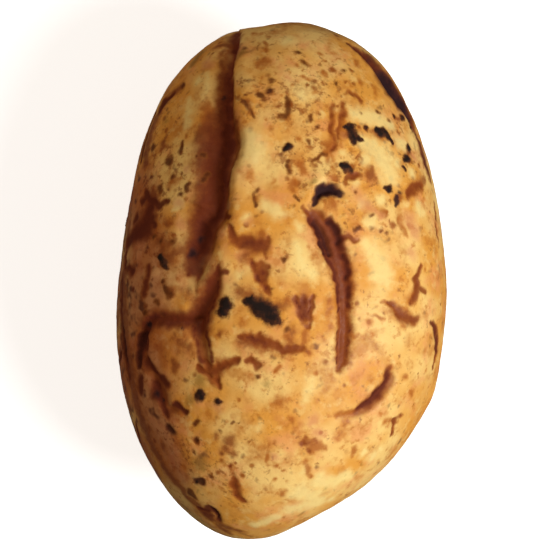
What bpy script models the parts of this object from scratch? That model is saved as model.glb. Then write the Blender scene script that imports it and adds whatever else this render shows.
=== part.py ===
# A whole potato, laid on its side on a small flat spot.
# Metres, +Z up, the length along +Y. The origin is on the ground, in the middle of the outline.

import math

import bmesh
import bpy
from mathutils import Vector
from mathutils.kdtree import KDTree

MM = 0.001

# Driving dimensions
LENGTH = 105.0 * MM
WIDTH = 67.0 * MM
THICKNESS = 56.0 * MM
FLAT_SPOT_DEPTH = 0.8 * MM      # how far the lowest skin is pressed flat

HALF_SIZE = Vector((WIDTH / 2, LENGTH / 2, THICKNESS / 2))

# Mesh fineness: each reach splits the faces that lie within so many half widths of a groove
SPHERE_SUBDIVISIONS = 5
REFINE_REACHES = (2.6, 1.0)
EYE_REFINE_SHARE = 0.5          # of the eye's radius, in the place of the half width
ROUTE_STEPS = 8                 # samples between two points of a groove's route
PLACING_ROUNDS = 12             # rounds of finding the skin over a plan point

# Section of a groove, in half widths, and of an eye, in shares of its depth and radius
RIDGE_REACH = 0.45
LIP_OFFSET = 2.4
LIP_REACH = 1.4
FULL_LIP_DEPTH = 2.0 * MM       # a shallower groove has a lower lip
BUD_HEIGHT = 0.35
BUD_RADIUS = 0.35

SKIN_COLOUR = (0.53, 0.28, 0.10, 1.0)
SKIN_ROUGHNESS = 0.62

# Broad swellings (+) and hollows (-) of the body: clock angle from +Y seen from above, lift above
# the rim towards the top, both in degrees, then height and spread as shares of the half size
SWELLINGS = {
    "right shoulder": (35, 0, 0.030, 0.22),
    "hollow under the right shoulder": (77, 0, -0.020, 0.18),
    "right hip": (115, 0, 0.020, 0.10),
    "slanted lower right": (161, 0, -0.105, 0.39),
    "flat side of the lower tip": (170, 0, -0.020, 0.12),
    "lower left belly": (219, 0, 0.070, 0.74),
    "left waist": (282, 0, -0.055, 0.30),
    "left shoulder": (319, 0, 0.020, 0.30),
    "dent in the upper end": (352, 0, -0.026, 0.09),
    "flesh right of the furrow": (350, 48, 0.030, 0.20),
    "flank left of the furrow": (318, 35, -0.025, 0.25),
    "hollow round the long crack": (110, 66, -0.025, 0.22),
    "cheek right of the long crack": (85, 38, 0.020, 0.28),
    "lower cheek": (185, 45, 0.025, 0.30),
    "hollow at the left crack": (255, 55, -0.030, 0.22),
    "underside ridge": (200, -50, 0.020, 0.40),
    "underside hollow": (40, -45, -0.030, 0.30),
    "underside left hollow": (300, -50, -0.020, 0.25),
}

# Cracks and furrows. Each point is (x, y, depth, half width) in millimetres on the top skin.
# "left" and "right" stretch the half width on either side, looking along the route with +Z up;
# "lip" is how far the flesh on the right bulges, in millimetres, and "ridge" is the share of the
# depth that stands up again along the middle.
GROOVES = {
    "main furrow": {
        "points": ((-9.2, 50.2, 0.9, 1.1), (-9.7, 47.6, 1.3, 1.0), (-11.0, 43.0, 2.0, 1.2),
                   (-11.1, 39.0, 2.7, 1.5), (-11.2, 33.0, 3.2, 1.7), (-10.4, 27.6, 3.4, 2.1),
                   (-11.9, 22.4, 3.1, 1.7), (-12.2, 17.2, 2.8, 1.6), (-12.6, 13.2, 2.6, 1.7),
                   (-14.6, 10.8, 2.6, 1.9), (-15.4, 7.2, 2.5, 2.0), (-16.4, 4.3, 1.8, 1.9),
                   (-17.0, 1.0, 0.4, 1.2)),
        "left": 2.0, "right": 0.75, "lip": 0.5, "ridge": 0.0,
    },
    "long crack": {
        "points": ((5.6, 15.2, 0.2, 1.0), (7.6, 12.0, 1.0, 1.5), (9.3, 9.4, 1.6, 1.9),
                   (10.4, 6.5, 1.7, 2.0), (11.6, 2.8, 1.6, 1.9), (12.4, -2.6, 1.4, 1.5),
                   (12.6, -8.2, 1.2, 1.3), (12.4, -13.4, 1.1, 1.4), (11.9, -17.2, 0.2, 0.9)),
        "left": 1.0, "right": 0.9, "lip": 0.2, "ridge": 0.45,
    },
    "left crack": {
        "points": ((-13.0, 2.4, 0.3, 0.8), (-14.1, -1.9, 1.2, 1.6), (-16.0, -5.6, 1.4, 1.7),
                   (-17.2, -8.4, 1.3, 1.6), (-16.4, -12.4, 1.0, 1.3), (-15.4, -16.6, 0.2, 0.9)),
        "left": 1.4, "right": 0.9, "lip": 0.2, "ridge": 0.0,
    },
    "left branch": {
        "points": ((-17.2, -8.4, 0.8, 1.1), (-22.0, -8.1, 0.9, 1.2), (-26.6, -8.0, 0.9, 1.1),
                   (-28.4, -12.4, 0.9, 1.0), (-27.6, -16.8, 0.7, 1.0), (-24.9, -21.6, 0.8, 1.3),
                   (-23.3, -25.4, 0.5, 1.0), (-20.1, -26.6, 0.2, 0.7)),
        "left": 1.0, "right": 1.0, "lip": 0.0, "ridge": 0.0,
    },
    "right rim crease": {
        "points": ((13.7, 48.0, 0.2, 0.7), (17.6, 44.6, 0.5, 0.8), (20.8, 40.7, 0.8, 1.0),
                   (23.2, 37.2, 0.9, 1.2), (25.6, 33.6, 0.8, 1.2), (27.5, 29.8, 0.4, 1.0)),
        "left": 1.0, "right": 1.3, "lip": 0.0, "ridge": 0.0,
    },
    "eyebrow slit": {
        "points": ((22.0, -18.0, 0.2, 0.6), (22.0, -20.2, 0.8, 0.8), (19.8, -22.8, 1.0, 0.9),
                   (17.6, -25.0, 0.9, 0.9), (14.6, -26.8, 0.5, 0.8), (11.5, -27.5, 0.2, 0.6)),
        "left": 1.0, "right": 1.6, "lip": 0.4, "ridge": 0.0,
    },
    "eye above the long crack": {
        "points": ((6.3, 15.3, 0.3, 0.7), (7.4, 17.4, 0.9, 0.9), (9.8, 18.8, 1.1, 1.2),
                   (11.9, 17.6, 0.4, 0.8)),
        "left": 1.0, "right": 1.1, "lip": 0.6, "ridge": 0.0,
    },
}

# Eyes on the sides and the underside: clock angle, lift, radius and depth in millimetres
EYES = {
    "right side": (98, -12, 3.0, 1.2),
    "right underside": (62, -42, 2.8, 1.1),
    "left side": (268, -18, 3.0, 1.3),
    "left upper side": (312, -24, 2.6, 1.0),
    "lower underside": (168, -38, 3.0, 1.2),
    "upper underside": (338, -52, 2.8, 1.1),
    "left underside": (228, -46, 2.8, 1.2),
    "upper end": (20, -14, 2.4, 1.0),
    "lower end scar": (192, -4, 2.2, 0.8),
}


def clear_scene():
    for item in list(bpy.data.objects):
        bpy.data.objects.remove(item, do_unlink=True)


def direction_of(clock, lift):
    """Unit direction from a clock angle seen from above and a lift above the rim, in degrees."""
    clock = math.radians(clock)
    lift = math.radians(lift)
    return Vector((math.sin(clock) * math.cos(lift), math.cos(clock) * math.cos(lift), math.sin(lift)))


def bump(distance, reach):
    return math.exp(-(distance / reach) ** 2)


SWELLING_SHAPES = [(direction_of(clock, lift), height, spread * math.sqrt(2.0))
                   for clock, lift, height, spread in SWELLINGS.values()]


def body_size(direction):
    """How much the swellings and hollows enlarge the ellipsoid in a unit direction."""
    return 1.0 + sum(height * bump((direction - centre).length, reach)
                     for centre, height, reach in SWELLING_SHAPES)


def body_point(direction):
    """Point of the smooth body, before its cracks and eyes, in a unit direction."""
    size = body_size(direction)
    return Vector(direction[axis] * HALF_SIZE[axis] * size for axis in range(3))


def body_normal(direction):
    """Outward normal of the ellipsoid that the body is swollen from."""
    return Vector(direction[axis] / HALF_SIZE[axis] for axis in range(3)).normalized()


def top_direction(x, y):
    """Direction in which the top skin stands over the plan point x, y, or the rim beyond it."""
    target = Vector((x / HALF_SIZE.x, y / HALF_SIZE.y))
    flat = target
    for _ in range(PLACING_ROUNDS):
        flat = flat / max(1.0, flat.length)
        direction = Vector((flat.x, flat.y, math.sqrt(max(0.0, 1.0 - flat.length_squared))))
        flat = target / body_size(direction)
    return direction


def smooth_value(before, start, end, after, share):
    """Value on a Catmull-Rom curve between start and end."""
    bend = 2.0 * before - 5.0 * start + 4.0 * end - after
    twist = 3.0 * (start - end) + after - before
    return start + 0.5 * share * (end - before + share * (bend + share * twist))


def smooth_points(points):
    """Samples (x, y, depth, half width) of a smooth curve through the points of a route."""
    padded = [points[0], *points, points[-1]]
    samples = []
    for index in range(len(points) - 1):
        four = padded[index:index + 4]
        for step in range(ROUTE_STEPS):
            share = step / ROUTE_STEPS
            samples.append([smooth_value(*column, share) for column in zip(*four)])
    samples.append(list(points[-1]))
    return samples


def lay_route(points):
    """Samples of a route laid on the skin, with a search tree over their places."""
    samples = []
    for x, y, depth, half_width in smooth_points(points):
        direction = top_direction(x * MM, y * MM)
        samples.append((body_point(direction), body_normal(direction), depth * MM, half_width * MM))
    tree = KDTree(len(samples))
    for index, sample in enumerate(samples):
        tree.insert(sample[0], index)
    tree.balance()
    return samples, tree


def nearest_on_route(point, route):
    """Signed distance to a route (right side positive), with its depth and half width there."""
    samples, tree = route
    _, index, _ = tree.find(point)
    place, normal, depth, half_width = samples[index]
    ahead = samples[min(index + 1, len(samples) - 1)][0]
    behind = samples[max(index - 1, 0)][0]
    tangent = (ahead - behind).normalized()
    offset = point - place
    if 0 < index < len(samples) - 1:
        offset = offset - tangent * offset.dot(tangent)
    side = 1.0 if normal.cross(tangent).dot(offset) > 0.0 else -1.0
    return side * offset.length, depth, half_width


def groove_height(point, route, left, right, lip, ridge):
    """Height of the skin near a groove: its cut, and the bulge of the flesh on its right."""
    across, depth, half_width = nearest_on_route(point, route)
    reach = half_width * (right if across > 0.0 else left)
    height = depth * (ridge * bump(across, RIDGE_REACH * half_width) - bump(across, reach))
    lip *= min(1.0, depth / FULL_LIP_DEPTH)
    return height + lip * bump(across - LIP_OFFSET * half_width, LIP_REACH * half_width)


def eye_height(point, centre, radius, depth):
    """Height of the skin at an eye: a dimple with a low bud in its middle."""
    distance = (point - centre).length
    return depth * (BUD_HEIGHT * bump(distance, BUD_RADIUS * radius) - bump(distance, radius))


GROOVE_SHAPES = [(lay_route(groove["points"]), groove["left"], groove["right"],
                  groove["lip"] * MM, groove["ridge"]) for groove in GROOVES.values()]
EYE_SHAPES = [(body_point(direction_of(clock, lift)), radius * MM, depth * MM)
              for clock, lift, radius, depth in EYES.values()]


def skin_point(direction):
    """Point of the finished skin in a unit direction, before the underside is pressed flat."""
    place = body_point(direction)
    height = sum(groove_height(place, *shape) for shape in GROOVE_SHAPES)
    height += sum(eye_height(place, *shape) for shape in EYE_SHAPES)
    return place + body_normal(direction) * height


def near_relief(point, reach):
    """Whether a point of the smooth body lies within reach half widths of a groove or an eye."""
    for route, *_ in GROOVE_SHAPES:
        across, _, half_width = nearest_on_route(point, route)
        if abs(across) < reach * half_width:
            return True
    return any((point - centre).length < reach * EYE_REFINE_SHARE * radius
               for centre, radius, _ in EYE_SHAPES)


def refined_sphere():
    """Unit sphere of triangles, split finer where the skin has relief."""
    bm = bmesh.new()
    bmesh.ops.create_icosphere(bm, subdivisions=SPHERE_SUBDIVISIONS, radius=1.0)
    for reach in REFINE_REACHES:
        close = {vert for vert in bm.verts if near_relief(body_point(vert.co.normalized()), reach)}
        edges = [edge for edge in bm.edges if close.intersection(edge.verts)]
        bmesh.ops.subdivide_edges(bm, edges=edges, cuts=1, use_grid_fill=True)
        bmesh.ops.triangulate(bm, faces=bm.faces)
        for vert in bm.verts:
            vert.co.normalize()
    return bm


def press_flat_spot(bm):
    """Press the lowest skin onto one level, so that the potato lies still."""
    floor = min(vert.co.z for vert in bm.verts) + FLAT_SPOT_DEPTH
    for vert in bm.verts:
        vert.co.z = max(vert.co.z, floor)


def fit_to_size(bm):
    """Bring the box to the driving dimensions, with the origin in the middle of its underside."""
    low = Vector(min(vert.co[axis] for vert in bm.verts) for axis in range(3))
    high = Vector(max(vert.co[axis] for vert in bm.verts) for axis in range(3))
    middle = (low + high) / 2
    for vert in bm.verts:
        vert.co.x = (vert.co.x - middle.x) * WIDTH / (high.x - low.x)
        vert.co.y = (vert.co.y - middle.y) * LENGTH / (high.y - low.y)
        vert.co.z = (vert.co.z - low.z) * THICKNESS / (high.z - low.z)


def skin_material():
    material = bpy.data.materials.new("potato skin")
    material.use_nodes = True
    shader = material.node_tree.nodes["Principled BSDF"]
    shader.inputs["Base Color"].default_value = SKIN_COLOUR
    shader.inputs["Roughness"].default_value = SKIN_ROUGHNESS
    shader.inputs["Metallic"].default_value = 0.0
    return material


def make_potato():
    bm = refined_sphere()
    for vert in bm.verts:
        vert.co = skin_point(vert.co)
    press_flat_spot(bm)
    fit_to_size(bm)
    bmesh.ops.recalc_face_normals(bm, faces=bm.faces)
    mesh = bpy.data.meshes.new("potato")
    bm.to_mesh(mesh)
    bm.free()
    mesh.shade_smooth()
    mesh.materials.append(skin_material())
    potato = bpy.data.objects.new("potato", mesh)
    bpy.context.scene.collection.objects.link(potato)
    return potato


clear_scene()
make_potato()
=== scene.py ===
import math

import bpy
import numpy as np
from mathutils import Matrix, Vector
from mathutils.bvhtree import BVHTree


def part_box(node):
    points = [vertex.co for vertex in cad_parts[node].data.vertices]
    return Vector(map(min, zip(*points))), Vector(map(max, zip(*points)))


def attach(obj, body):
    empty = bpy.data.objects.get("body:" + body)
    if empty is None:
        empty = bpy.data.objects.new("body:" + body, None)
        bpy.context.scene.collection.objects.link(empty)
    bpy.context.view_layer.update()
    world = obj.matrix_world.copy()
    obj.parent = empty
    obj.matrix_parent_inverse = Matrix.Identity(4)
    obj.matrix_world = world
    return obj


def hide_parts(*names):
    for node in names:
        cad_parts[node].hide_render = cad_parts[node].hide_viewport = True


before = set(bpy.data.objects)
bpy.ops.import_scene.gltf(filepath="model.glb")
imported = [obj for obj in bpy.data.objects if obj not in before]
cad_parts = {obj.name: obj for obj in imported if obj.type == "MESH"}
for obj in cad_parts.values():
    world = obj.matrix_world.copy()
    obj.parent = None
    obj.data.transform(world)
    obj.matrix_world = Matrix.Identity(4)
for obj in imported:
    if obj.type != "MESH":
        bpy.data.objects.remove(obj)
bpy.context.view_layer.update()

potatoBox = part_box("potato")
mm = 0.001
skinMaterial = bpy.data.materials.new("tuberSkin")      # its nodes come further down


# small helpers for node trees

def addNode(tree, kind, values=None, **settings):
    node = tree.nodes.new(kind)
    for name, value in settings.items():
        setattr(node, name, value)
    for key, value in (values or {}).items():
        feed(tree, node.inputs[key], value)
    return node


def feed(tree, socket, value):      # a socket is linked, anything else is typed in
    if isinstance(value, bpy.types.NodeSocket):
        tree.links.new(value, socket)
    else:
        socket.default_value = value


def calc(tree, operation, *values, clamp=False):
    node = addNode(tree, "ShaderNodeMath", operation=operation, use_clamp=clamp)
    for socket, value in zip(node.inputs, values):
        feed(tree, socket, value)
    return node.outputs[0]


def vectorCalc(tree, operation, *values):
    node = addNode(tree, "ShaderNodeVectorMath", operation=operation)
    sockets = [node.inputs[3]] if operation == "SCALE" else []
    for socket, value in zip([node.inputs[0]] + sockets + list(node.inputs[1:3]), values):
        feed(tree, socket, value)
    isNumber = operation in ("LENGTH", "DISTANCE", "DOT_PRODUCT")
    return node.outputs["Value" if isNumber else "Vector"]


def ramp(tree, value, start, end, low=0.0, high=1.0):     # a smooth step from start to end
    values = {"Value": value, "From Min": start, "From Max": end, "To Min": low, "To Max": high}
    return addNode(tree, "ShaderNodeMapRange", values, interpolation_type="SMOOTHSTEP").outputs[0]


def bellOf(tree, distance, reach):      # 1 at no distance, falling like a bell
    share = calc(tree, "DIVIDE", distance, reach)
    square = calc(tree, "MULTIPLY", share, share)
    return calc(tree, "EXPONENT", calc(tree, "MULTIPLY", square, -1.0))


def noiseAt(tree, place, grain, detail=2.0, rough=0.5, shift=0.0):     # 0 to 1, lumps grain metres wide
    moved = vectorCalc(tree, "ADD", place, (shift, shift * 0.37, shift * 0.61))
    values = {"Vector": moved, "Scale": 1.0 / grain, "Detail": detail, "Roughness": rough}
    return addNode(tree, "ShaderNodeTexNoise", values).outputs[0]


def swingAt(tree, place, grain, shift=0.0, rough=0.6):     # fine noise, swinging about 0
    return calc(tree, "SUBTRACT", noiseAt(tree, place, grain, 3.0, rough, shift), 0.5)


def between(tree, share, first, second):
    return addNode(tree, "ShaderNodeMix", {"Factor": share, "A": first, "B": second}).outputs[0]


def newTree(name, inputs):
    tree = bpy.data.node_groups.new(name, "GeometryNodeTree")
    tree.interface.new_socket("Geometry", in_out="INPUT", socket_type="NodeSocketGeometry")
    tree.interface.new_socket("Geometry", in_out="OUTPUT", socket_type="NodeSocketGeometry")
    for label, kind in inputs.items():
        tree.interface.new_socket(label, in_out="INPUT", socket_type="NodeSocket" + kind)
    start = tree.nodes.new("NodeGroupInput")
    end = tree.nodes.new("NodeGroupOutput")
    return tree, start.outputs, end.inputs["Geometry"]


def useTree(piece, tree, values):
    modifier = piece.modifiers.new(tree.name, "NODES")
    modifier.node_group = tree
    for item in tree.interface.items_tree:
        if item.in_out == "INPUT" and item.name in values:
            modifier[item.identifier] = values[item.name]


def endTree(tree, geometry, result):
    solid = addNode(tree, "GeometryNodeRealizeInstances", {"Geometry": geometry})
    dressed = addNode(tree, "GeometryNodeSetMaterial",
                      {"Geometry": solid.outputs[0], "Material": skinMaterial})
    feed(tree, result, dressed.outputs[0])
    return tree


def hereIn(tree):       # where each point is
    return addNode(tree, "GeometryNodeInputPosition").outputs[0]


def readAttribute(tree, name, kind="FLOAT"):
    node = addNode(tree, "GeometryNodeInputNamedAttribute", {"Name": name}, data_type=kind)
    return node.outputs["Attribute"]


def storeAttribute(tree, geometry, name, value, kind="FLOAT"):
    node = addNode(tree, "GeometryNodeStoreNamedAttribute", {"Geometry": geometry, "Name": name},
                   data_type=kind, domain="POINT")
    feed(tree, node.inputs["Value"], value)
    return node.outputs["Geometry"]


def pushOut(tree, geometry, height):       # moves the skin along the way that it faces
    offset = vectorCalc(tree, "SCALE", readAttribute(tree, "outward", "FLOAT_VECTOR"), height)
    return addNode(tree, "GeometryNodeSetPosition", {"Geometry": geometry, "Offset": offset}).outputs[0]


def plainMesh(piece):       # turns what the modifiers make into an ordinary mesh
    shown = piece.evaluated_get(bpy.context.evaluated_depsgraph_get())
    mesh = bpy.data.meshes.new_from_object(shown)
    piece.modifiers.clear()
    piece.data = mesh
    return mesh


def newPiece(name, mesh=None):
    piece = bpy.data.objects.new(name, mesh or bpy.data.meshes.new(name))
    bpy.context.scene.collection.objects.link(piece)
    return piece


# the camera looks straight down

camera = {
    "lens": 500.0, "sensorWidth": 36.0, "seenWidth": 113.7 * mm,
    "aim": (-0.3 * mm, 0.1 * mm), "aimHeight": 28.0 * mm, "clipEnd": 10.0,
}
camera["height"] = camera["aimHeight"] + camera["seenWidth"] * camera["lens"] / camera["sensorWidth"]


def makeCamera():
    data = bpy.data.cameras.new("lookingDown")
    data.lens = camera["lens"]
    data.sensor_width = camera["sensorWidth"]
    data.clip_end = camera["clipEnd"]
    viewer = bpy.data.objects.new("lookingDown", data)
    viewer.location = (*camera["aim"], camera["height"])
    bpy.context.scene.collection.objects.link(viewer)
    bpy.context.scene.camera = viewer


makeCamera()


# the body: an ellipsoid with swellings and hollows

body = {
    "halfSize": Vector((33.5, 52.5, 28.0)) * mm,
    "divisions": (108, 166, 94), "finerTop": 0.3,       # the net's middle stands this far up
    "flatSpot": 0.8 * mm,
    "rimTries": 40, "rimStep": 0.995,       # how a place beyond the rim is drawn in
    # clock angle seen from above, lift above the rim in degrees, height, spread
    "swellings": {
        "rightShoulder": (35, 0, 0.030, 0.22),
        "underRightShoulder": (77, 0, -0.020, 0.18),
        "rightHip": (115, 0, 0.020, 0.10),
        "slantedLowerRight": (161, 0, -0.105, 0.39),
        "flatSideOfTip": (170, 0, -0.020, 0.12),
        "lowerLeftBelly": (219, 0, 0.070, 0.74),
        "leftWaist": (282, 0, -0.055, 0.30),
        "leftShoulder": (319, 0, 0.020, 0.30),
        "dentInUpperEnd": (352, 0, -0.026, 0.09),
        "fleshRightOfFurrow": (350, 48, 0.030, 0.20),
        "flankLeftOfFurrow": (318, 35, -0.025, 0.25),
        "hollowRoundLongCrack": (110, 66, -0.025, 0.22),
        "cheekRightOfLongCrack": (85, 38, 0.020, 0.28),
        "lowerCheek": (185, 45, 0.025, 0.30),
        "hollowAtLeftCrack": (255, 55, -0.030, 0.22),
        "undersideRidge": (200, -50, 0.020, 0.40),
        "undersideHollow": (40, -45, -0.030, 0.30),
        "undersideLeftHollow": (300, -50, -0.020, 0.25),
    },
}


def directionOf(clock, lift):
    clock = math.radians(clock)
    lift = math.radians(lift)
    return Vector((math.sin(clock) * math.cos(lift), math.cos(clock) * math.cos(lift), math.sin(lift)))


def makeBodyTree():
    tree, given, result = newTree("tuberBody", {
        "Half Size": "Vector", "Finer Top": "Float",
        "Divisions X": "Int", "Divisions Y": "Int", "Divisions Z": "Int"})
    cube = addNode(tree, "GeometryNodeMeshCube", {
        "Size": (2.0, 2.0, 2.0), "Vertices X": given["Divisions X"],
        "Vertices Y": given["Divisions Y"], "Vertices Z": given["Divisions Z"]})
    corner = hereIn(tree)
    even = vectorCalc(tree, "TANGENT", vectorCalc(tree, "SCALE", corner, math.pi / 4))
    aim = vectorCalc(tree, "NORMALIZE", even)
    middle = addNode(tree, "ShaderNodeCombineXYZ", {"Z": given["Finer Top"]}).outputs[0]
    rise = vectorCalc(tree, "DOT_PRODUCT", middle, aim)
    room = calc(tree, "SUBTRACT", 1.0, calc(tree, "MULTIPLY", given["Finer Top"], given["Finer Top"]))
    reach = calc(tree, "SQRT", calc(tree, "MULTIPLY_ADD", rise, rise, room))
    reach = calc(tree, "SUBTRACT", reach, rise)
    direction = vectorCalc(tree, "ADD", middle, vectorCalc(tree, "SCALE", aim, reach))
    size = 1.0
    for clock, lift, height, spread in body["swellings"].values():
        distance = vectorCalc(tree, "DISTANCE", direction, directionOf(clock, lift))
        size = calc(tree, "MULTIPLY_ADD", bellOf(tree, distance, spread * math.sqrt(2)), height, size)
    onEllipsoid = vectorCalc(tree, "MULTIPLY", direction, given["Half Size"])
    place = vectorCalc(tree, "SCALE", onEllipsoid, size)
    upright = vectorCalc(tree, "NORMALIZE", vectorCalc(tree, "DIVIDE", direction, given["Half Size"]))
    shaped = storeAttribute(tree, cube.outputs["Mesh"], "outward", upright, "FLOAT_VECTOR")
    shaped = addNode(tree, "GeometryNodeSetPosition", {"Geometry": shaped, "Position": place})
    kept = storeAttribute(tree, shaped.outputs[0], "bodyPlace", hereIn(tree), "FLOAT_VECTOR")
    smooth = addNode(tree, "GeometryNodeSetShadeSmooth", {"Geometry": kept})
    return endTree(tree, smooth.outputs[0], result)


def makeBody():
    skin = newPiece("skin")
    divisions = {"Divisions " + axis: count for axis, count in zip("XYZ", body["divisions"])}
    useTree(skin, makeBodyTree(), {
        "Half Size": body["halfSize"], "Finer Top": body["finerTop"], **divisions})
    mesh = plainMesh(skin)
    tree = BVHTree.FromPolygons([vertex.co for vertex in mesh.vertices],
                                [polygon.vertices for polygon in mesh.polygons])
    print("body made,", len(mesh.polygons), "faces")
    return skin, tree


def onTop(x, y):        # the skin where someone looking down sees a plan point, or the rim beside it
    lookFrom = bodyMiddle + Vector((*camera["aim"], camera["height"] - camera["aimHeight"]))
    plan = Vector((x, y, 0.0)) * mm
    for _ in range(body["rimTries"]):
        hit = skinTree.ray_cast(lookFrom, bodyMiddle + plan - lookFrom)[0]
        if hit:
            return hit
        plan *= body["rimStep"]
    return bodyMiddle + plan


def onSide(clock, lift):        # the skin in a direction from the middle
    aim = directionOf(clock, lift)
    aim = Vector(aim[axis] * body["halfSize"][axis] for axis in range(3)).normalized()
    return skinTree.ray_cast(bodyMiddle, aim)[0]


bodyMiddle = Vector()
skin, skinTree = makeBody()


# guides: places on the skin with a half width and a depth in millimetres, as furrows, cracks and eyes

def makeGuide(name, points, placeOn, joined=False):
    edges = [(index, index + 1) for index in range(len(points) - 1)] if joined else []
    mesh = bpy.data.meshes.new(name)
    mesh.from_pydata([placeOn(*point[:2]) for point in points], edges, [])
    for label, column in (("halfWidth", 2), ("depth", 3)):
        values = [point[column] * mm for point in points]
        mesh.attributes.new(label, "FLOAT", "POINT").data.foreach_set("value", values)
    return newPiece(name, mesh)


def readGuide(tree, guide):
    info = addNode(tree, "GeometryNodeObjectInfo", {"Object": guide}, transform_space="RELATIVE")
    return info.outputs["Geometry"]


def nearestOf(tree, points):        # the untouched place, and a way to read the point nearest to it
    place = readAttribute(tree, "bodyPlace", "FLOAT_VECTOR")
    nearest = addNode(tree, "GeometryNodeSampleNearest", {"Geometry": points, "Sample Position": place})

    def pick(value, kind="FLOAT"):
        node = addNode(tree, "GeometryNodeSampleIndex",
                       {"Geometry": points, "Index": nearest.outputs[0]}, data_type=kind)
        feed(tree, node.inputs["Value"], value)
        return node.outputs[0]

    return place, pick


# furrows and cracks

groove = {
    "ridgeReach": 0.45, "lipOffset": 2.4, "lipReach": 1.4, "fullLipDepth": 2.0 * mm,
    "grain": 1.6 * mm, "raggedness": 4.0, "fullShadeDepth": 0.7 * mm,
    "steps": 8, "spacing": 0.25 * mm,       # how finely a route is followed
    # x, y, half width, depth in millimetres
    "routes": {
        "mainFurrow": {
            "points": ((-9.2, 50.2, 1.1, 0.9), (-9.7, 47.6, 1.0, 1.3), (-11.0, 43.0, 1.2, 2.0),
                       (-11.1, 39.0, 1.5, 2.7), (-11.2, 33.0, 1.7, 3.2), (-10.4, 27.6, 2.1, 3.4),
                       (-11.9, 22.4, 1.7, 3.1), (-12.2, 17.2, 1.6, 2.8), (-12.6, 13.2, 1.7, 2.6),
                       (-14.6, 10.8, 1.9, 2.6), (-15.4, 7.2, 2.0, 2.5), (-16.4, 4.3, 1.9, 1.8),
                       (-17.0, 1.0, 1.2, 0.4)),
            "Left": 2.3, "Right": 0.75, "Lip": 0.4 * mm, "Ridge": 0.0, "Ragged": 0.12,
        },
        "longCrack": {
            "points": ((5.6, 15.2, 1.0, 0.2), (7.6, 12.0, 1.5, 1.0), (9.3, 9.4, 1.9, 1.6),
                       (10.4, 6.5, 2.0, 1.7), (11.6, 2.8, 1.9, 1.6), (12.4, -2.6, 1.5, 1.4),
                       (12.6, -8.2, 1.3, 1.2), (12.4, -13.4, 1.4, 1.1), (11.9, -17.2, 0.9, 0.2)),
            "Left": 1.0, "Right": 0.9, "Lip": 0.2 * mm, "Ridge": 0.45, "Ragged": 0.06,
        },
        "leftCrack": {
            "points": ((-13.0, 2.4, 0.8, 0.3), (-14.1, -1.9, 1.6, 1.2), (-16.0, -5.6, 1.7, 1.4),
                       (-17.2, -8.4, 1.6, 1.3), (-16.4, -12.4, 1.3, 1.0), (-15.4, -16.6, 0.9, 0.2)),
            "Left": 1.4, "Right": 0.9, "Lip": 0.1 * mm, "Ridge": 0.0, "Ragged": 0.08,
        },
        "leftBranch": {
            "points": ((-17.2, -8.4, 1.1, 0.8), (-22.0, -8.1, 1.2, 0.9), (-26.6, -8.0, 1.1, 0.9),
                       (-28.4, -12.4, 1.0, 0.9), (-27.6, -16.8, 1.0, 0.7), (-24.9, -21.6, 1.3, 0.8),
                       (-23.3, -25.4, 1.0, 0.5), (-20.1, -26.6, 0.7, 0.2)),
            "Left": 1.0, "Right": 1.0, "Lip": 0.0, "Ridge": 0.0, "Ragged": 0.25,
        },
        "rightRimCrease": {
            "points": ((13.7, 48.0, 0.7, 0.2), (17.6, 44.6, 0.8, 0.5), (20.8, 40.7, 1.0, 0.8),
                       (23.2, 37.2, 1.2, 0.9), (25.6, 33.6, 1.2, 0.8), (27.5, 29.8, 1.0, 0.4)),
            "Left": 1.0, "Right": 1.3, "Lip": 0.0, "Ridge": 0.0, "Ragged": 0.2,
        },
        "eyebrowSlit": {
            "points": ((22.0, -18.0, 0.6, 0.2), (22.0, -20.2, 0.8, 0.8), (19.8, -22.8, 0.9, 1.0),
                       (17.6, -25.0, 0.9, 0.9), (14.6, -26.8, 0.8, 0.5), (11.5, -27.5, 0.6, 0.2)),
            "Left": 1.0, "Right": 1.6, "Lip": 0.4 * mm, "Ridge": 0.0, "Ragged": 0.1,
        },
        "eyeAboveLongCrack": {
            "points": ((6.3, 15.3, 0.7, 0.3), (7.4, 17.4, 0.9, 0.9), (9.8, 18.8, 1.2, 1.1),
                       (11.9, 17.6, 0.8, 0.4)),
            "Left": 1.0, "Right": 1.1, "Lip": 0.6 * mm, "Ridge": 0.0, "Ragged": 0.1,
        },
    },
}


def sampleRoute(tree, guide):      # how a place lies to the nearest point of a rounded route
    curve = addNode(tree, "GeometryNodeMeshToCurve", {"Mesh": readGuide(tree, guide)})
    rounded = addNode(tree, "GeometryNodeCurveSplineType", {"Curve": curve.outputs[0]},
                      spline_type="CATMULL_ROM")
    fine = addNode(tree, "GeometryNodeSetSplineResolution",
                   {"Geometry": rounded.outputs[0], "Resolution": groove["steps"]})
    points = addNode(tree, "GeometryNodeCurveToPoints",
                     {"Curve": fine.outputs[0], "Length": groove["spacing"]}, mode="LENGTH").outputs
    place, pick = nearestOf(tree, points["Points"])
    tangent = pick(points["Tangent"], "FLOAT_VECTOR")
    offset = vectorCalc(tree, "SUBTRACT", place, pick(hereIn(tree), "FLOAT_VECTOR"))
    along = vectorCalc(tree, "DOT_PRODUCT", offset, tangent)
    along = calc(tree, "MINIMUM", calc(tree, "MAXIMUM", along, -groove["spacing"]), groove["spacing"])
    offset = vectorCalc(tree, "SUBTRACT", offset, vectorCalc(tree, "SCALE", tangent, along))
    return place, tangent, offset, pick


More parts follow.
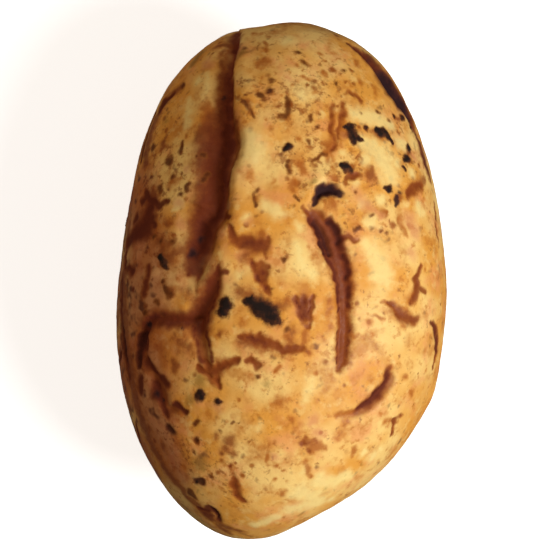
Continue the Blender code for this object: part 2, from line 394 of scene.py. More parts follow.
def makeGrooveTree():
    tree, given, result = newTree("pressGroove", {
        "Route": "Object", "Left": "Float", "Right": "Float", "Lip": "Float", "Ridge": "Float",
        "Ragged": "Float"})
    place, tangent, offset, pick = sampleRoute(tree, given["Route"])
    halfWidth = pick(readAttribute(tree, "halfWidth"))
    depth = pick(readAttribute(tree, "depth"))
    rightHand = vectorCalc(tree, "CROSS_PRODUCT", readAttribute(tree, "outward", "FLOAT_VECTOR"), tangent)
    side = calc(tree, "SIGN", vectorCalc(tree, "DOT_PRODUCT", rightHand, offset))
    ragged = calc(tree, "MULTIPLY", swingAt(tree, place, groove["grain"]), groove["raggedness"])
    ragged = calc(tree, "MULTIPLY", ragged, given["Ragged"])
    across = calc(tree, "MULTIPLY_ADD", ragged, halfWidth, vectorCalc(tree, "LENGTH", offset))
    stretch = between(tree, calc(tree, "GREATER_THAN", side, 0.0), given["Left"], given["Right"])
    fall = bellOf(tree, across, calc(tree, "MULTIPLY", halfWidth, stretch))
    ridge = bellOf(tree, across, calc(tree, "MULTIPLY", halfWidth, groove["ridgeReach"]))
    ridge = calc(tree, "MULTIPLY", ridge, given["Ridge"])
    cut = calc(tree, "MULTIPLY", calc(tree, "SUBTRACT", ridge, fall), depth)
    fromLip = calc(tree, "MULTIPLY", across, side)
    fromLip = calc(tree, "SUBTRACT", fromLip, calc(tree, "MULTIPLY", halfWidth, groove["lipOffset"]))
    lip = bellOf(tree, fromLip, calc(tree, "MULTIPLY", halfWidth, groove["lipReach"]))
    lipShare = calc(tree, "MINIMUM", calc(tree, "DIVIDE", depth, groove["fullLipDepth"]), 1.0)
    lip = calc(tree, "MULTIPLY", calc(tree, "MULTIPLY", lip, lipShare), given["Lip"])
    moved = pushOut(tree, given["Geometry"], calc(tree, "ADD", cut, lip))
    # how deep a place lies in a groove, which sets the painted shade in the skin's colour
    shade = calc(tree, "MINIMUM", calc(tree, "DIVIDE", depth, groove["fullShadeDepth"]), 1.0)
    for name, value in (("furrow", calc(tree, "MULTIPLY", fall, shade)), ("crest", ridge)):
        value = calc(tree, "MAXIMUM", value, readAttribute(tree, name))
        moved = storeAttribute(tree, moved, name, value)
    return endTree(tree, moved, result)


def pressGrooves():
    tree = makeGrooveTree()
    guides = []
    for name, spec in groove["routes"].items():
        guides.append(makeGuide(name, spec["points"], onTop, joined=True))
        useTree(skin, tree, {**spec, "Route": guides[-1]})
    print("furrows and cracks pressed in:", len(guides))
    return guides


# eyes of the sides and the underside

eyes = {
    "budHeight": 0.35, "budRadius": 0.35,
    # clock angle, lift, radius, depth in millimetres
    "places": {
        "rightSide": (98, -12, 3.0, 1.2),
        "rightUnderside": (62, -42, 2.8, 1.1),
        "leftSide": (268, -18, 3.0, 1.3),
        "leftUpperSide": (312, -24, 2.6, 1.0),
        "lowerUnderside": (168, -38, 3.0, 1.2),
        "upperUnderside": (338, -52, 2.8, 1.1),
        "leftUnderside": (228, -46, 2.8, 1.2),
        "upperEnd": (20, -14, 2.4, 1.0),
        "lowerEndScar": (192, -4, 2.2, 0.8),
    },
}


def makeEyeTree():
    tree, given, result = newTree("pressEyes", {"Places": "Object"})
    points = addNode(tree, "GeometryNodeMeshToPoints", {"Mesh": readGuide(tree, given["Places"])})
    place, pick = nearestOf(tree, points.outputs[0])
    distance = vectorCalc(tree, "DISTANCE", place, pick(hereIn(tree), "FLOAT_VECTOR"))
    radius = pick(readAttribute(tree, "halfWidth"))
    depth = pick(readAttribute(tree, "depth"))
    bud = bellOf(tree, distance, calc(tree, "MULTIPLY", radius, eyes["budRadius"]))
    bud = calc(tree, "MULTIPLY", bud, eyes["budHeight"])
    height = calc(tree, "SUBTRACT", bud, bellOf(tree, distance, radius))
    moved = pushOut(tree, given["Geometry"], calc(tree, "MULTIPLY", height, depth))
    kept = storeAttribute(tree, moved, "eye", calc(tree, "DIVIDE", distance, radius))
    return endTree(tree, kept, result)


def pressEyes():
    guide = makeGuide("eyePlaces", list(eyes["places"].values()), onSide)
    useTree(skin, makeEyeTree(), {"Places": guide})
    print("eyes pressed in:", len(eyes["places"]))
    return [guide]


guides = pressGrooves() + pressEyes()


# the skin as a plain mesh, pressed flat below and brought to the frame's box

def settleSkin():
    mesh = plainMesh(skin)
    for guide in guides:
        bpy.data.objects.remove(guide)
    points = np.empty((len(mesh.vertices), 3), "f")
    mesh.vertices.foreach_get("co", points.ravel())
    smooth = np.empty_like(points)
    mesh.attributes["bodyPlace"].data.foreach_get("vector", smooth.ravel())
    floor = points[:, 2].min() + body["flatSpot"]
    points[:, 2] = np.maximum(points[:, 2], floor)
    smooth[:, 2] = np.maximum(smooth[:, 2], floor)
    low, high = points.min(axis=0), points.max(axis=0)
    low2, high2 = (np.array(corner) for corner in potatoBox)
    stretch = (high2 - low2) / (high - low)
    print("body fitted to its box, stretched by", stretch, "from", low, high)
    for places in (points, smooth):
        places[:] = low2 + (places - low) * stretch
    mesh.vertices.foreach_set("co", points.ravel())
    mesh.attributes["bodyPlace"].data.foreach_set("vector", smooth.ravel())
    mesh.update()
    faces = [polygon.vertices for polygon in mesh.polygons]
    return BVHTree.FromPolygons([Vector(place) for place in smooth], faces)


skinTree = settleSkin()
bodyMiddle = (Vector(potatoBox[0]) + Vector(potatoBox[1])) / 2


# Marks on the skin. A stroke is a list of (x, y, half width) in millimetres as seen from above, and a
# spot is a stroke of one point. The number before a group is the strength of its strokes: their field
# has that value in the middle and falls by 1 to the edge.

marks = {
    "pale": {1.0: [      # creamy skin, and painted highlights on the right side and near the lower end
        (-16.8, 40.6, 1.3), (-11.4, 15.4, 0.9), (24.2, 28, 2.2), (17.2, 24.4, 1.6), (20, 16.6, 1.4),
        (28, 14.4, 2), (18.4, 11.8, 2), [(-20.9, 15.6, 1.2), (-21.6, 14.4, 0.8)],
        [(-5.4, 25.6, 3.2), (-6.2, 28.8, 2.6)], [(-3.2, 15, 1.6), (-0.8, 13.6, 1.8)],
        [(15, 33.8, 2.2), (18.4, 33, 2.6), (22, 31.4, 2)],
        # painted highlight on the upper right, over creamy skin
        [(16.6, 28, 2.2), (19, 26.8, 3.2), (21, 24, 3.6), (22, 21, 3)],
        [(17.4, 7.4, 2.2), (19.6, 4.4, 3), (20.8, 0.6, 2.8)],
        # painted highlights near the lower end, over creamy skin
        [(7.6, -40.6, 2.4), (10.6, -41, 2.6), (13.4, -39.6, 1.8)],
        [(-5.8, -49.6, 1.2), (-3, -48.8, 1.4), (-0.6, -47.9, 1.2)],
    ], 0.9: [
        (18.4, -35.6, 2),
    ], 0.8: [
        # those on the upper right and near the lower end are painted highlights as well
        (4, 38, 2.2), (1.4, 48.6, 2.4), (8.2, 33.8, 0.8), (26.4, 21.8, 1.6), (23.4, 24, 2), (12.6, 25.8, 1),
        (15.4, 19.6, 1.3), (16.6, 15.6, 1.6), (16.4, -35.2, 1.6), (10, -44.4, 2),
        [(3.6, -42.6, 3.4), (8, -44.6, 3.4), (1.6, -46.6, 2.4)],
    ], 0.7: [
        (-19.2, 22.6, 1.2), (-25.5, 1.5, 1.1), (6.8, 37, 1.2), (9.8, 24.8, 1.2), (25.4, 15.6, 1.2),
        (3.6, 10.8, 1.6), (-8.6, 1, 1.4), (20, -34, 1.6), (-7, 12.6, 1.6),
        [(-18.8, 36.4, 1.5), (-19, 33.6, 1.9), (-19.2, 31.2, 1.4)],
        [(3, 7, 1.6), (4.2, 2.6, 2.4), (6.6, 0.8, 1.6)],
    ], 0.6: [
        (-4.6, -29.5, 1.8), (5, -38.4, 2.4), (22.6, -16.6, 1.4), [(-15.6, 37, 1.2), (-15, 42, 1.2)],
    ], 0.5: [
        [(5.8, -20.4, 2.4), (4.6, -24.6, 2.4)],
    ]},
    "ochre": {1.0: [      # soft orange-brown patches
        (5.4, -14.4, 1.2), (22.2, -18, 0.8), (24.6, -9.4, 0.8), (18, -8.6, 1), (29, 2.2, 0.6),
        (-1.4, -40.6, 0.6), (0.4, -43, 0.9), (1.8, -28.2, 0.9), (-0.6, -24.8, 1.7), (12.8, -29, 1.1),
        (11.6, -31.8, 1.2), (25, -19.6, 1), (26.4, -23, 1.2), (20.3, 13.8, 1.3), (10.2, 15.4, 1.8),
        (10.4, 23, 0.8), (5, 44.2, 0.8), (3, 43.7, 0.6), (7.6, 46, 0.9), (10.4, 46.2, 0.6), (8.6, 42, 1),
        (16, 40.3, 1), (15.4, 44.2, 1.2), (-2.5, 49.6, 0.6), (-4.2, 50, 0.6), (3.4, 29, 0.8),
        (-1.6, 31, 0.7), (-7, 20.5, 0.8), (-1.9, 19.9, 0.7), (-19.5, 29.3, 0.6), (-4, 9.6, 0.9),
        (-12.4, -42, 0.8), (-19.6, -38, 1), (7.2, -19, 0.7), (-8.8, -24, 0.6),
        [(4.9, -10.4, 1), (4.6, -12.8, 0.9)], [(15.4, -26.3, 0.9), (13.4, -27, 0.9), (11.2, -27.5, 0.8)],
        [(20.4, -4.2, 0.5), (21.6, -4.6, 0.6)], [(18, -6.6, 0.4), (20.6, -7.8, 0.6)],
        [(20.8, -28.7, 0.8), (22, -28.6, 0.6)], [(6.4, -33.8, 1.8), (8.6, -33.8, 0.9)],
        [(5.2, -37, 1.1), (5.7, -39.8, 0.7)],
        [(-2.6, -34.4, 0.5), (-3.2, -36, 0.5), (-2.6, -37.4, 0.5), (-0.6, -37.8, 0.5), (0.2, -38.4, 0.5)],
        [(14.8, -34, 0.8), (14.4, -35.2, 0.7)], [(3.8, 23.6, 1.2), (4.4, 22, 1.1)],
        [(2.3, 19.6, 1.1), (2.6, 18, 0.9)], [(23.8, 13, 0.7), (24.4, 11.2, 0.8), (25.2, 9.2, 0.7)],
        [(14.4, -10.8, 0.8), (15.6, -10.8, 0.6)], [(-5, 43.8, 0.9), (-3, 44.6, 1.2)],
        [(4.5, 41.5, 0.6), (6, 41, 0.6)], [(18.6, 39.4, 1), (19.2, 38, 0.7)],
        [(-3.2, 48.6, 0.5), (-3.2, 46.4, 0.6)], [(-15.6, 35, 1.6), (-15.4, 31, 1.4)],
        [(-0.4, -17.6, 0.7), (-0.8, -18.8, 0.7)],
    ], 0.8: [
        (-22, 20, 2), (1.4, -11.8, 1.6), (26, -4, 1.8), (26, 11, 1.4), [(12.6, 34, 1.4), (12, 29, 1)],
        [(9.8, 28, 1.8), (9.6, 25, 1.2)],
    ], 0.7: [
        (-22.4, 12, 1.6), (-8, 45.8, 1.4), (-5, -35.4, 1.6), (1.6, -3.8, 1.8), (9.8, 21, 1.4),
        (-8.2, -8.6, 2), [(10.4, 34, 1.2), (10.2, 28, 1.4), (10.6, 24.4, 1)],
    ], 0.6: [
        (-18, -15, 1.6), (-15, -27, 1.6), (3, -30, 1.4), (-6.6, 21, 1.8), (26.4, -3.4, 2),
        [(9.8, -4, 1.6), (9.6, -10, 1.6)],
    ], 0.5: [
        (6.8, 5, 1.4), (18.8, -2.5, 0.6), (1.6, -36.5, 2.4), (-6.4, -20, 2.4), (9.9, -20, 2), (18, -20, 2),
        (26, -12, 2.4), (25.6, 12.6, 1.8), (10, 21, 1.6), [(-6.4, -36.4, 2.6), (-2, -33, 2)],
    ], 0.45: [
        (8.6, -12, 1.8), [(17.6, -12, 2.6), (20, -14, 2)],
    ]},
    "olive": {1.0: [      # grey-green stains, and a painted glint in the eye's crescent
        (-8, 46, 1.1), (6.4, 19.9, 0.8), (-16.5, -20.5, 1.8), (-18.6, -24.4, 1.3), (-16.5, -37, 2),
        # the spot at (8.3, 16.8) is a painted glint in the eye's crescent
        (8.3, 16.8, 0.4), [(-16.5, 46, 1.4), (-18, 44, 1.2)],
    ], 0.8: [
        (-17, -42.6, 0.7),
    ], 0.6: [
        (8.8, 48.3, 0.7), (18.6, 5.2, 0.8), (8.8, -42.4, 0.9), (-23.4, 32.4, 1.6),
    ], 0.5: [
        (-3, -21, 1.6), (14.6, -38.8, 0.5), (12.9, -39.7, 0.6), (16.6, -37.4, 0.8), (-29.3, 18, 1),
        (-29.3, 13, 0.8), (-10.1, 16.6, 0.5),
    ], 0.4: [
        (20.3, 3.3, 0.5),
    ]},
    "pink": {1.0: [
        (-15, 44, 1.6), (-28.5, 7.4, 1.5), (-28.9, 4.9, 1), (-21, 15.6, 1.2), (-20.6, 11.2, 1.3),
        (-12.6, 9.4, 1.6), (-11.4, 15.4, 0.9), (-19.2, 22.6, 1), (-15, 4.4, 1.4), (-8, 5.2, 1.6),
        (26.5, 5.4, 1.6), (7.6, -31, 1.4), (6.4, -28, 1.5), (21.7, -29.5, 0.5), (-25.5, 1.5, 1),
        (-1.5, -36, 1), [(26, 12.6, 2), (27, 10, 1.6)],
    ], 0.8: [
        (12.8, 29.4, 1), [(15, 18.6, 1.4), (17, 15.4, 1.6), (20, 13, 1)],
    ], 0.7: [
        (-6.4, 11.6, 1.4), (27, 25, 1.4), (-12.6, -25.6, 2),
    ], 0.6: [
        (1.4, 41, 1.4),
    ]},
    "rust": {1.0: [      # soft red-brown stains and the fringes of cracks
        (-23.4, -21, 1.4), (-30.6, 1.8, 1.8), (-24, 27.5, 1.4), (-23, 11.6, 1.1), (18.8, 20.4, 0.8),
        (-10.6, -32.6, 1.5), (-13.4, -31.6, 1.1), [(-14.4, 34.4, 1.4), (-15, 32.4, 1.6), (-16, 30.4, 2.2),
        (-15.6, 27, 2.6), (-15.6, 23.6, 2.8), (-15.4, 20, 2.6), (-16, 16.4, 2.6), (-17, 13.2, 2.4),
        (-18, 9.6, 2.2), (-18.6, 6.2, 2.2)], [(-13, 47.6, 1), (-10.8, 48.2, 1.2)],
        [(-12.8, 2.4, 1.1), (-14.4, -1.8, 2), (-16.2, -6.2, 2.4), (-17, -9.2, 2.2)], [(-18, -8, 1.9),
        (-22, -8, 1.9), (-26.4, -8, 1.8), (-28.2, -11, 1.6), (-28.8, -15.4, 1.6), (-27.4, -17.6, 1.8)],
        # the long stroke from (-31, 11) round the left and lower rim: partly stain, partly painted shade of
        # the rim
        [(-25.6, -19, 1.4), (-25, -23, 2.2), (-23.6, -26.4, 1.6), (-20.6, -26, 1.3)], [(-31, 11, 2),
        (-31.8, 5, 1.6), (-32, -2, 1.6), (-31.8, -9, 2.2), (-31.2, -16, 2.6), (-30, -22, 2.4),
        (-28.4, -28, 2.2), (-26.6, -33, 1.8), (-23.4, -38.4, 1.4), (-19.6, -43, 1.2), (-15.6, -47, 1.8),
        (-12, -49.6, 1.4), (-8.6, -51, 1)],
        [(-27.6, 24, 1.6), (-27, 28.4, 1.8), (-25.4, 33, 1.4), (-23.4, 36.6, 1.6), (-20.6, 39.2, 1.2)],
        [(-26.4, 16.6, 2.6), (-28.2, 12.2, 3.4), (-30, 9, 2.4)],
        [(-27, 2.6, 1.2), (-27.4, -0.4, 1.1), (-28.1, -2.8, 1)], [(-22, -16.4, 0.9), (-21.4, -18.4, 0.9)],
        [(5.2, 13.8, 0.9), (6.8, 11.8, 1.3), (8.8, 9.6, 2.4), (10.2, 6.6, 2.6), (11.8, 3.6, 2.3),
        (12.8, 0, 2.1), (12.7, -6, 1.7), (12.8, -11, 1.8), (12.4, -16.4, 1.9)], [(14, 47.6, 0.8),
        (16.4, 45.8, 1.4), (19, 43.2, 1.6), (21, 40.4, 1.7), (23.2, 37.4, 1.6), (25.4, 34.4, 1.4),
        (27, 31, 1.1), (28, 28, 0.8), (29.2, 23.6, 0.7)],
        [(21.8, -18.2, 1), (21.2, -20.8, 1.4), (19.4, -23.2, 1.6), (17.2, -25.4, 1.4), (15, -26.5, 1)],
        [(17.8, 21.4, 1.4), (18.2, 22.8, 0.8)], [(-11.6, -34, 1), (-10, -35, 0.9)],
        [(-14.8, -16.9, 1), (-13.6, -18, 1.9), (-10.8, -17, 1.1), (-8.8, -15.8, 0.7)],
        [(-16.8, -17.8, 0.9), (-14.6, -19, 1.1), (-13, -20.8, 1)], [(-12.6, -50, 1.2), (-10.4, -51.4, 0.8)],
    ], 0.9: [
        [(-19.4, 2.4, 1.2), (-18.6, 1, 0.8)],
    ], 0.8: [
        (-27.7, -5, 0.8), (-22.6, -2.2, 1.4), (24, 16.9, 1.4), (13.4, 29.4, 1.4), (-24, -33.6, 1.8),
        (-26.8, -30, 1.6), [(-23, 4.4, 2.6), (-21, 6.4, 1.6)],
        [(-24.6, 7.8, 2), (-22.4, 7.6, 1.4), (-24.8, 5.8, 1.4)],
        [(25.6, 17.6, 1.2), (28.2, 19.6, 1.3), (29, 20.8, 1)],
        [(30.8, -9, 0.9), (31.6, -12.6, 1.1), (31, -16.6, 0.9)], [(14.4, 21.6, 1), (16, 21.2, 1)],
    ], 0.7: [
        (-18.6, -13.6, 2.2), (-6, -16.6, 1.3), (26, 26, 1.4),
        [(-12.2, 46.4, 1.2), (-12.4, 43.4, 1.1), (-12.8, 40.6, 1.2), (-13.4, 36.6, 1.2)],
        [(-9.4, 32.6, 0.9), (-8.9, 30.4, 0.8), (-8.8, 27.4, 0.8), (-9.6, 25.2, 0.6)],
        [(-10.3, 10.6, 1), (-9.4, 8.2, 1.5), (-6, 7.5, 1.7), (-3.6, 7.5, 1.8)],
        [(-5.6, 3, 1.4), (-4, 0.8, 1.4), (-2.8, -1.8, 0.9)], [(4.2, -4.4, 2.2), (4.8, -8, 1.3)],
        [(-7.4, -11.6, 1.2), (-4.6, -12, 1.7), (-1, -13.4, 1.3), (3, -14.2, 1.3)],
        [(28, 2.4, 0.8), (27.4, -1, 1.2), (26.6, -4.2, 1)],
        [(22.4, -5.2, 1.2), (24.6, -7.2, 1.8), (27.2, -7.8, 1.2)], [(5, -32.9, 1.3), (6.6, -32.8, 1)],
        [(22.9, -29, 1.1), (22.4, -31, 0.7)], [(-10.2, -38, 0.8), (-9.4, -41, 1.1), (-8.2, -44.4, 1.3)],
        [(24.4, 33, 1.2), (22.8, 33.4, 0.8)],
    ], 0.65: [
        [(-13.6, 3.4, 1.1), (-15.2, 1, 1.4), (-17, -1.8, 1.4)],
    ], 0.6: [
        (-19, -2.6, 2.6), (-20.4, -13, 4), (-20, 3, 2), (-12.4, -11, 1.6), (-2.4, 38.3, 1.2),
        (1.2, 35.6, 1.2), [(-8.6, -2.4, 2), (-4.6, -3.6, 2.6), (-1.6, -5.4, 2), (0.6, -4.6, 2)],
        [(17.6, 30.8, 1), (20, 29.8, 1.6)], [(-7, 36, 1.4), (-6, 33.6, 0.8)],
    ], 0.5: [
        (-20, 1.4, 2.4), (-5, 17, 1.2), [(-7.6, 4.4, 2), (-6.4, 5.4, 2)],
        [(-8, -12.6, 2.6), (-4, -13.4, 2.6), (1, -14.6, 2)],
        [(-17, -9.2, 2.2), (-16.4, -13, 1.7), (-15.2, -16.6, 1.4)],
    ], 0.45: [
        [(2, -10, 2), (2, -13, 2)],
    ]},
    "scar": {1.0: [      # crisp brown
        (-3.1, 8.6, 0.6), (-4.7, -11.3, 0.8), (5.4, -32, 0.6), (4.5, -33.2, 0.8), (-13.4, -17.9, 1.7),
        (-5, -15.7, 0.4), (-10.2, -37.7, 0.5), [(4.4, 14.8, 0.5), (5.6, 13.6, 0.7), (7.6, 12.4, 1.6),
        (9, 9.8, 2.1), (10, 7.4, 2.3), (11.2, 4.8, 2), (12.4, 2.2, 1.9), (13, -0.6, 1.9), (12.7, -4, 1.3),
        (12.7, -7.4, 1.1), (12.8, -10.2, 1.3), (12.4, -13, 1.2), (12, -16.2, 1.2), (11.8, -17.8, 0.8)],
        [(12.4, 8.6, 0.8), (13.8, 8.5, 0.8), (15.2, 8.2, 0.5)], [(-10.6, 11.2, 0.5), (-10.3, 9.8, 0.8),
        (-9.8, 8.4, 1.1), (-8, 7.5, 1.4), (-6, 7.3, 1.7), (-4.2, 7.2, 1.8), (-3.4, 7.4, 1.5)],
        [(-6.2, 3.6, 0.7), (-5.2, 1.8, 0.9), (-4.2, 0.2, 0.9), (-3, -1.5, 0.8), (-2.2, -2.8, 0.5)],
        [(-5.6, 3.3, 0.8), (-4, 3.2, 0.9), (-2.7, 2.8, 0.6)], [(-4, 2.4, 1.4), (-3.4, 0.6, 1.1)],
        [(2.9, -3.9, 0.8), (3.6, -5.6, 0.9), (4.4, -8, 0.9), (4.9, -9.4, 0.7)],
        [(5.9, -4, 0.7), (5.6, -6.6, 0.8), (5.1, -9, 0.7)],
        [(2.8, -3.6, 0.7), (4.2, -7, 0.7), (4.9, -9.8, 0.5)],
        [(6.2, -3.4, 0.6), (6, -6.6, 0.7), (5.4, -9.6, 0.5)], [(-8.3, -11.3, 0.5), (-7, -12, 0.9),
        (-5.4, -12.4, 1.2), (-4, -12.4, 1.4), (-2, -13.2, 1.1), (0.2, -14, 0.9), (2.2, -14.2, 1),
        (3.6, -13.9, 0.8), (5.2, -14.3, 0.6)], [(28.3, 3.4, 0.4), (27.9, 1.8, 0.7), (27.3, -0.4, 1),
        (27.6, -2, 0.9), (27, -3.6, 0.9), (26.2, -4.9, 0.6)], [(28, -1.4, 0.7), (29.4, -2.4, 0.5)],
        [(22.6, -28.8, 0.7), (24.2, -27.6, 0.7)], [(22.7, -29, 0.7), (22.4, -31.4, 0.5)],
        [(-15.4, -16.6, 0.9), (-14.4, -17.8, 1.2)],
        [(-12.4, -17.7, 1.1), (-10.4, -16.9, 0.8), (-8.7, -15.7, 0.5)],
        [(-17, -17.4, 0.5), (-15.8, -18.4, 0.8), (-14.6, -18.9, 0.8)],
        [(-13.4, -19.4, 1), (-12.8, -21.4, 0.6)],
        [(-7.2, -16.6, 0.6), (-5.8, -16.4, 0.9), (-4.7, -17.5, 0.8)],
        [(-9.9, -40.4, 0.7), (-9.4, -42, 1), (-8.9, -43.4, 1), (-7.6, -44.8, 0.7)],
        [(25.6, 17.8, 1.1), (27, 18.5, 1.4), (28.3, 19.5, 1)],
        [(31.2, 15.4, 0.5), (31.4, 11, 0.6), (31.9, 7, 0.5)], [(31.2, -15.6, 0.7), (30.7, -18, 0.5)],
        [(13.4, 22, 0.6), (15, 21.4, 0.8), (13, 20.7, 0.6)],
    ], 0.8: [
        (5.4, -34.4, 0.7), [(4.4, -4.2, 1.5), (4.8, -6.4, 1.3), (4.8, -8.4, 0.8)],
    ], 0.75: [
        [(21.6, -4.6, 0.6), (22.6, -5.4, 1.3), (24.2, -6.8, 1.6), (25.8, -8, 1.6), (27.7, -7.8, 1.1)],
    ], 0.7: [
        (6.8, -32.6, 0.7), [(-3.6, 6, 0.7), (-2.9, 4.8, 0.5)],
        [(12.6, 36.2, 0.7), (12.4, 33.8, 1.1), (11.8, 32, 0.7), (11.4, 29, 0.7)],
        [(13.4, 38.2, 0.8), (15, 37.7, 1.1), (16.1, 36.2, 0.8)],
    ], 0.6: [
        [(10.4, 35.6, 0.8), (10, 33, 0.9), (9.8, 31.4, 0.8), (10.6, 28.8, 0.8), (10.6, 26.4, 0.8)],
        [(14.8, 25, 0.4), (15.8, 25.4, 0.5), (16.6, 24.2, 0.5), (15.8, 23.4, 0.4)],
    ]},
    "redBrown": {1.0: [      # broad dull stains of the furrow and the cracks
        (-18.8, 1.2, 0.5), (-15, -47.6, 1.3), [(-9.3, 50.4, 0.9), (-9.4, 48, 1.2), (-9.7, 46.4, 0.9),
        (-10.1, 44.8, 1.2), (-11.1, 43, 1.2), (-11.6, 40, 1.5), (-11.9, 37, 1.7), (-12.2, 34, 2.1),
        (-12.8, 31, 3.1), (-13.1, 28, 3.8), (-13.8, 25, 3.5), (-14.2, 22, 3.1), (-14.2, 19, 3),
        (-14.6, 16, 3.1), (-15.2, 13.6, 3.2), (-16.4, 11, 2.5), (-16.6, 8, 2.5), (-17.6, 5.8, 2.4),
        (-18.1, 4, 2), (-17.9, 2.4, 1.5)], [(-17, 2.6, 0.8), (-17, 1, 0.6)],
        [(-12, 13.2, 1), (-10.8, 12.8, 0.5)], [(-12.8, 2.8, 0.4), (-13.4, 1, 1.1), (-14, -0.6, 1.5),
        (-14.8, -2.4, 1.8), (-15.7, -4.6, 2), (-16.4, -6.6, 2.1), (-17, -8.4, 2.3), (-17, -9.8, 1.8)],
        [(-12.6, 1.4, 0.6), (-11.2, 1.6, 0.5)],
        [(-18.4, -7.9, 1.4), (-21, -8, 1.4), (-24, -7.9, 1.5), (-26.6, -7.9, 1.5), (-28, -8.6, 1.2)],
        # the stroke from (26.6, 31.6) along the upper right rim is painted shade beside the crease's stain
        [(-26.8, 3.2, 0.6), (-27, 1.4, 0.6), (-27.4, -0.2, 0.6), (-28, -2.6, 0.6)], [(26.6, 31.6, 1.4),
        (27.4, 30, 1.4), (28, 28, 1.2), (28.8, 25.2, 1.2), (29.6, 22.4, 1.2), (30.2, 20.6, 0.8)],
    ], 0.8: [
        [(-18.4, -9.6, 0.9), (-17.6, -11.6, 0.7), (-16.9, -13.6, 0.6), (-16.2, -16.4, 0.7)],
        [(-15.7, -9.8, 0.7), (-15, -12, 0.6), (-14.5, -14, 0.5), (-14.4, -15.8, 0.5)],
    ], 0.6: [
        [(6, 13, 1), (9, 9.6, 1.8), (10.4, 6.6, 1.8), (11.6, 3.6, 1.5), (12.4, 0, 1.3), (12.4, -4, 1)],
    ], 0.5: [
        (-3.9, 1.6, 1), [(4.4, -4.6, 1.6), (4.8, -7.4, 1.2)], [(-7, 7.4, 1.4), (-4, 7.2, 1.4)],
        [(-6, -12.2, 1.1), (-3.6, -12.6, 1)],
    ]},
    "crack": {1.0: [      # maroon
        (-29.6, 12.4, 1.2), (-25.8, 11.6, 1), [(-9.3, 48.6, 0.8), (-9.5, 47.4, 0.8)],
        [(-27.8, -9.6, 0.8), (-28.3, -11.4, 1), (-28.7, -14, 1.1), (-29, -17, 1)],
        [(-27.4, -12, 0.5), (-27.6, -14.2, 0.5)],
        [(-27.6, 18.4, 0.6), (-27.4, 17.2, 0.9), (-28.4, 16.2, 0.8)],
        [(-27.4, 17, 0.8), (-26.2, 15.8, 0.9), (-24.6, 15.4, 0.9), (-23, 16.2, 0.6)],
        [(-26.8, 14.6, 1.4), (-27, 12.4, 2.2), (-27.8, 10.6, 2.5), (-30, 9, 1.8), (-31.2, 7.6, 1.4)],
        [(-31.6, 5.4, 0.9), (-31.8, 3, 0.9)], [(-31.4, 2.6, 0.9), (-30.2, 1.8, 1)],
        [(-24.6, 35, 1.1), (-23.4, 36.4, 1.1), (-22.2, 37.6, 0.7)],
        [(-25.8, 33.6, 0.9), (-27, 30.6, 1), (-27.9, 27.6, 1.1), (-28.4, 24.6, 0.7)],
        [(-27.4, -16.8, 1.2), (-26, -18.2, 0.8), (-24.8, -19.4, 0.7), (-23.4, -20.7, 1)],
        [(-25.8, -21.2, 0.9), (-25.6, -23.2, 1.4), (-24.6, -24.6, 0.9), (-23.8, -26, 0.9),
        (-23.6, -27, 0.8)], [(-21.4, -25.2, 0.7), (-20.4, -26.2, 0.8), (-19.2, -26.7, 0.6)],
        [(-28.5, -19.6, 0.9), (-28.7, -22.2, 1)], [(-17, -46.2, 0.5), (-15.6, -46.5, 0.7),
        (-14.6, -46.1, 0.7), (-13.6, -47, 0.8), (-12.8, -47.9, 0.8), (-12.3, -48.9, 0.6)],
        [(13.8, 47.9, 0.6), (15, 47, 1), (16.6, 46, 1.4), (17.8, 45, 1.7), (19.4, 43.4, 2),
        (20.6, 41.8, 2.5), (21.6, 40.2, 3), (22.8, 38.6, 3.3), (24, 36.8, 3.3), (25.2, 35, 2.8),
        (26.2, 33.4, 2)], [(30.4, -8.4, 0.5), (31.2, -9.8, 0.9), (31.5, -12.4, 1), (31.4, -14.6, 0.9)],
        [(21.7, -18.6, 0.7), (21.5, -20.2, 1), (20.7, -21.6, 1.1), (19.6, -22.9, 1.2), (18.4, -24.3, 1.2),
        (17.2, -25.4, 1), (15.6, -26.1, 0.7)],
        [(9.6, 12.4, 0.7), (10.9, 10.6, 1.1), (11.6, 8.4, 1.1), (12.3, 6, 0.9)], [(5.6, 12.8, 0.4),
        (6.8, 10.6, 0.6), (7.8, 8, 0.6), (8.8, 5.6, 0.6), (10.2, 3.2, 0.5), (11.3, 0.6, 0.5),
        (11.6, -2.6, 0.5), (11.7, -6.4, 0.4)],
    ], 0.8: [
        (-30, -1.8, 0.6), [(-16, 11.6, 1.9), (-16.4, 9.6, 2), (-16.8, 7.4, 1.9), (-18.2, 5.4, 1.4)],
        [(7, 12, 0.8), (8.4, 10, 1.3), (9.4, 7.6, 1.3), (10.4, 5.2, 0.8)],
    ], 0.75: [
        [(-10.4, 44.4, 0.6), (-11, 42.4, 0.8), (-11.3, 39.6, 1), (-11.5, 36.4, 1.2), (-11.7, 33.4, 1.4),
        (-11.9, 30.6, 2), (-11.9, 28, 2.5), (-12.1, 25, 1.9), (-12.4, 22, 1.4), (-12.4, 19.6, 1.2),
        (-12.7, 17, 1.2), (-13.6, 14.2, 1.6), (-14.8, 12.6, 1.6)], [(12.4, 5.6, 0.9), (13, 4, 1),
        (13.5, 1.2, 0.95), (13.6, -1.6, 0.8), (13.5, -4.6, 0.6), (13.5, -7.2, 0.4)],
    ], 0.7: [
        (-9.1, -43.6, 0.5), [(-25.4, -7.6, 0.9), (-27, -7.4, 0.9)],
    ], 0.6: [
        (-6.1, 3.4, 0.5),
        [(-13, 0.6, 0.5), (-13.3, -1.6, 0.6), (-13.9, -3.8, 0.6), (-14.7, -6.2, 0.6), (-15.4, -8.4, 0.6)],
        [(-18.2, -9.8, 0.5), (-17.4, -12, 0.4), (-16.8, -13.8, 0.4)],
        # the band from (-32.4, 0.5) along the left rim: partly stain, partly painted shade
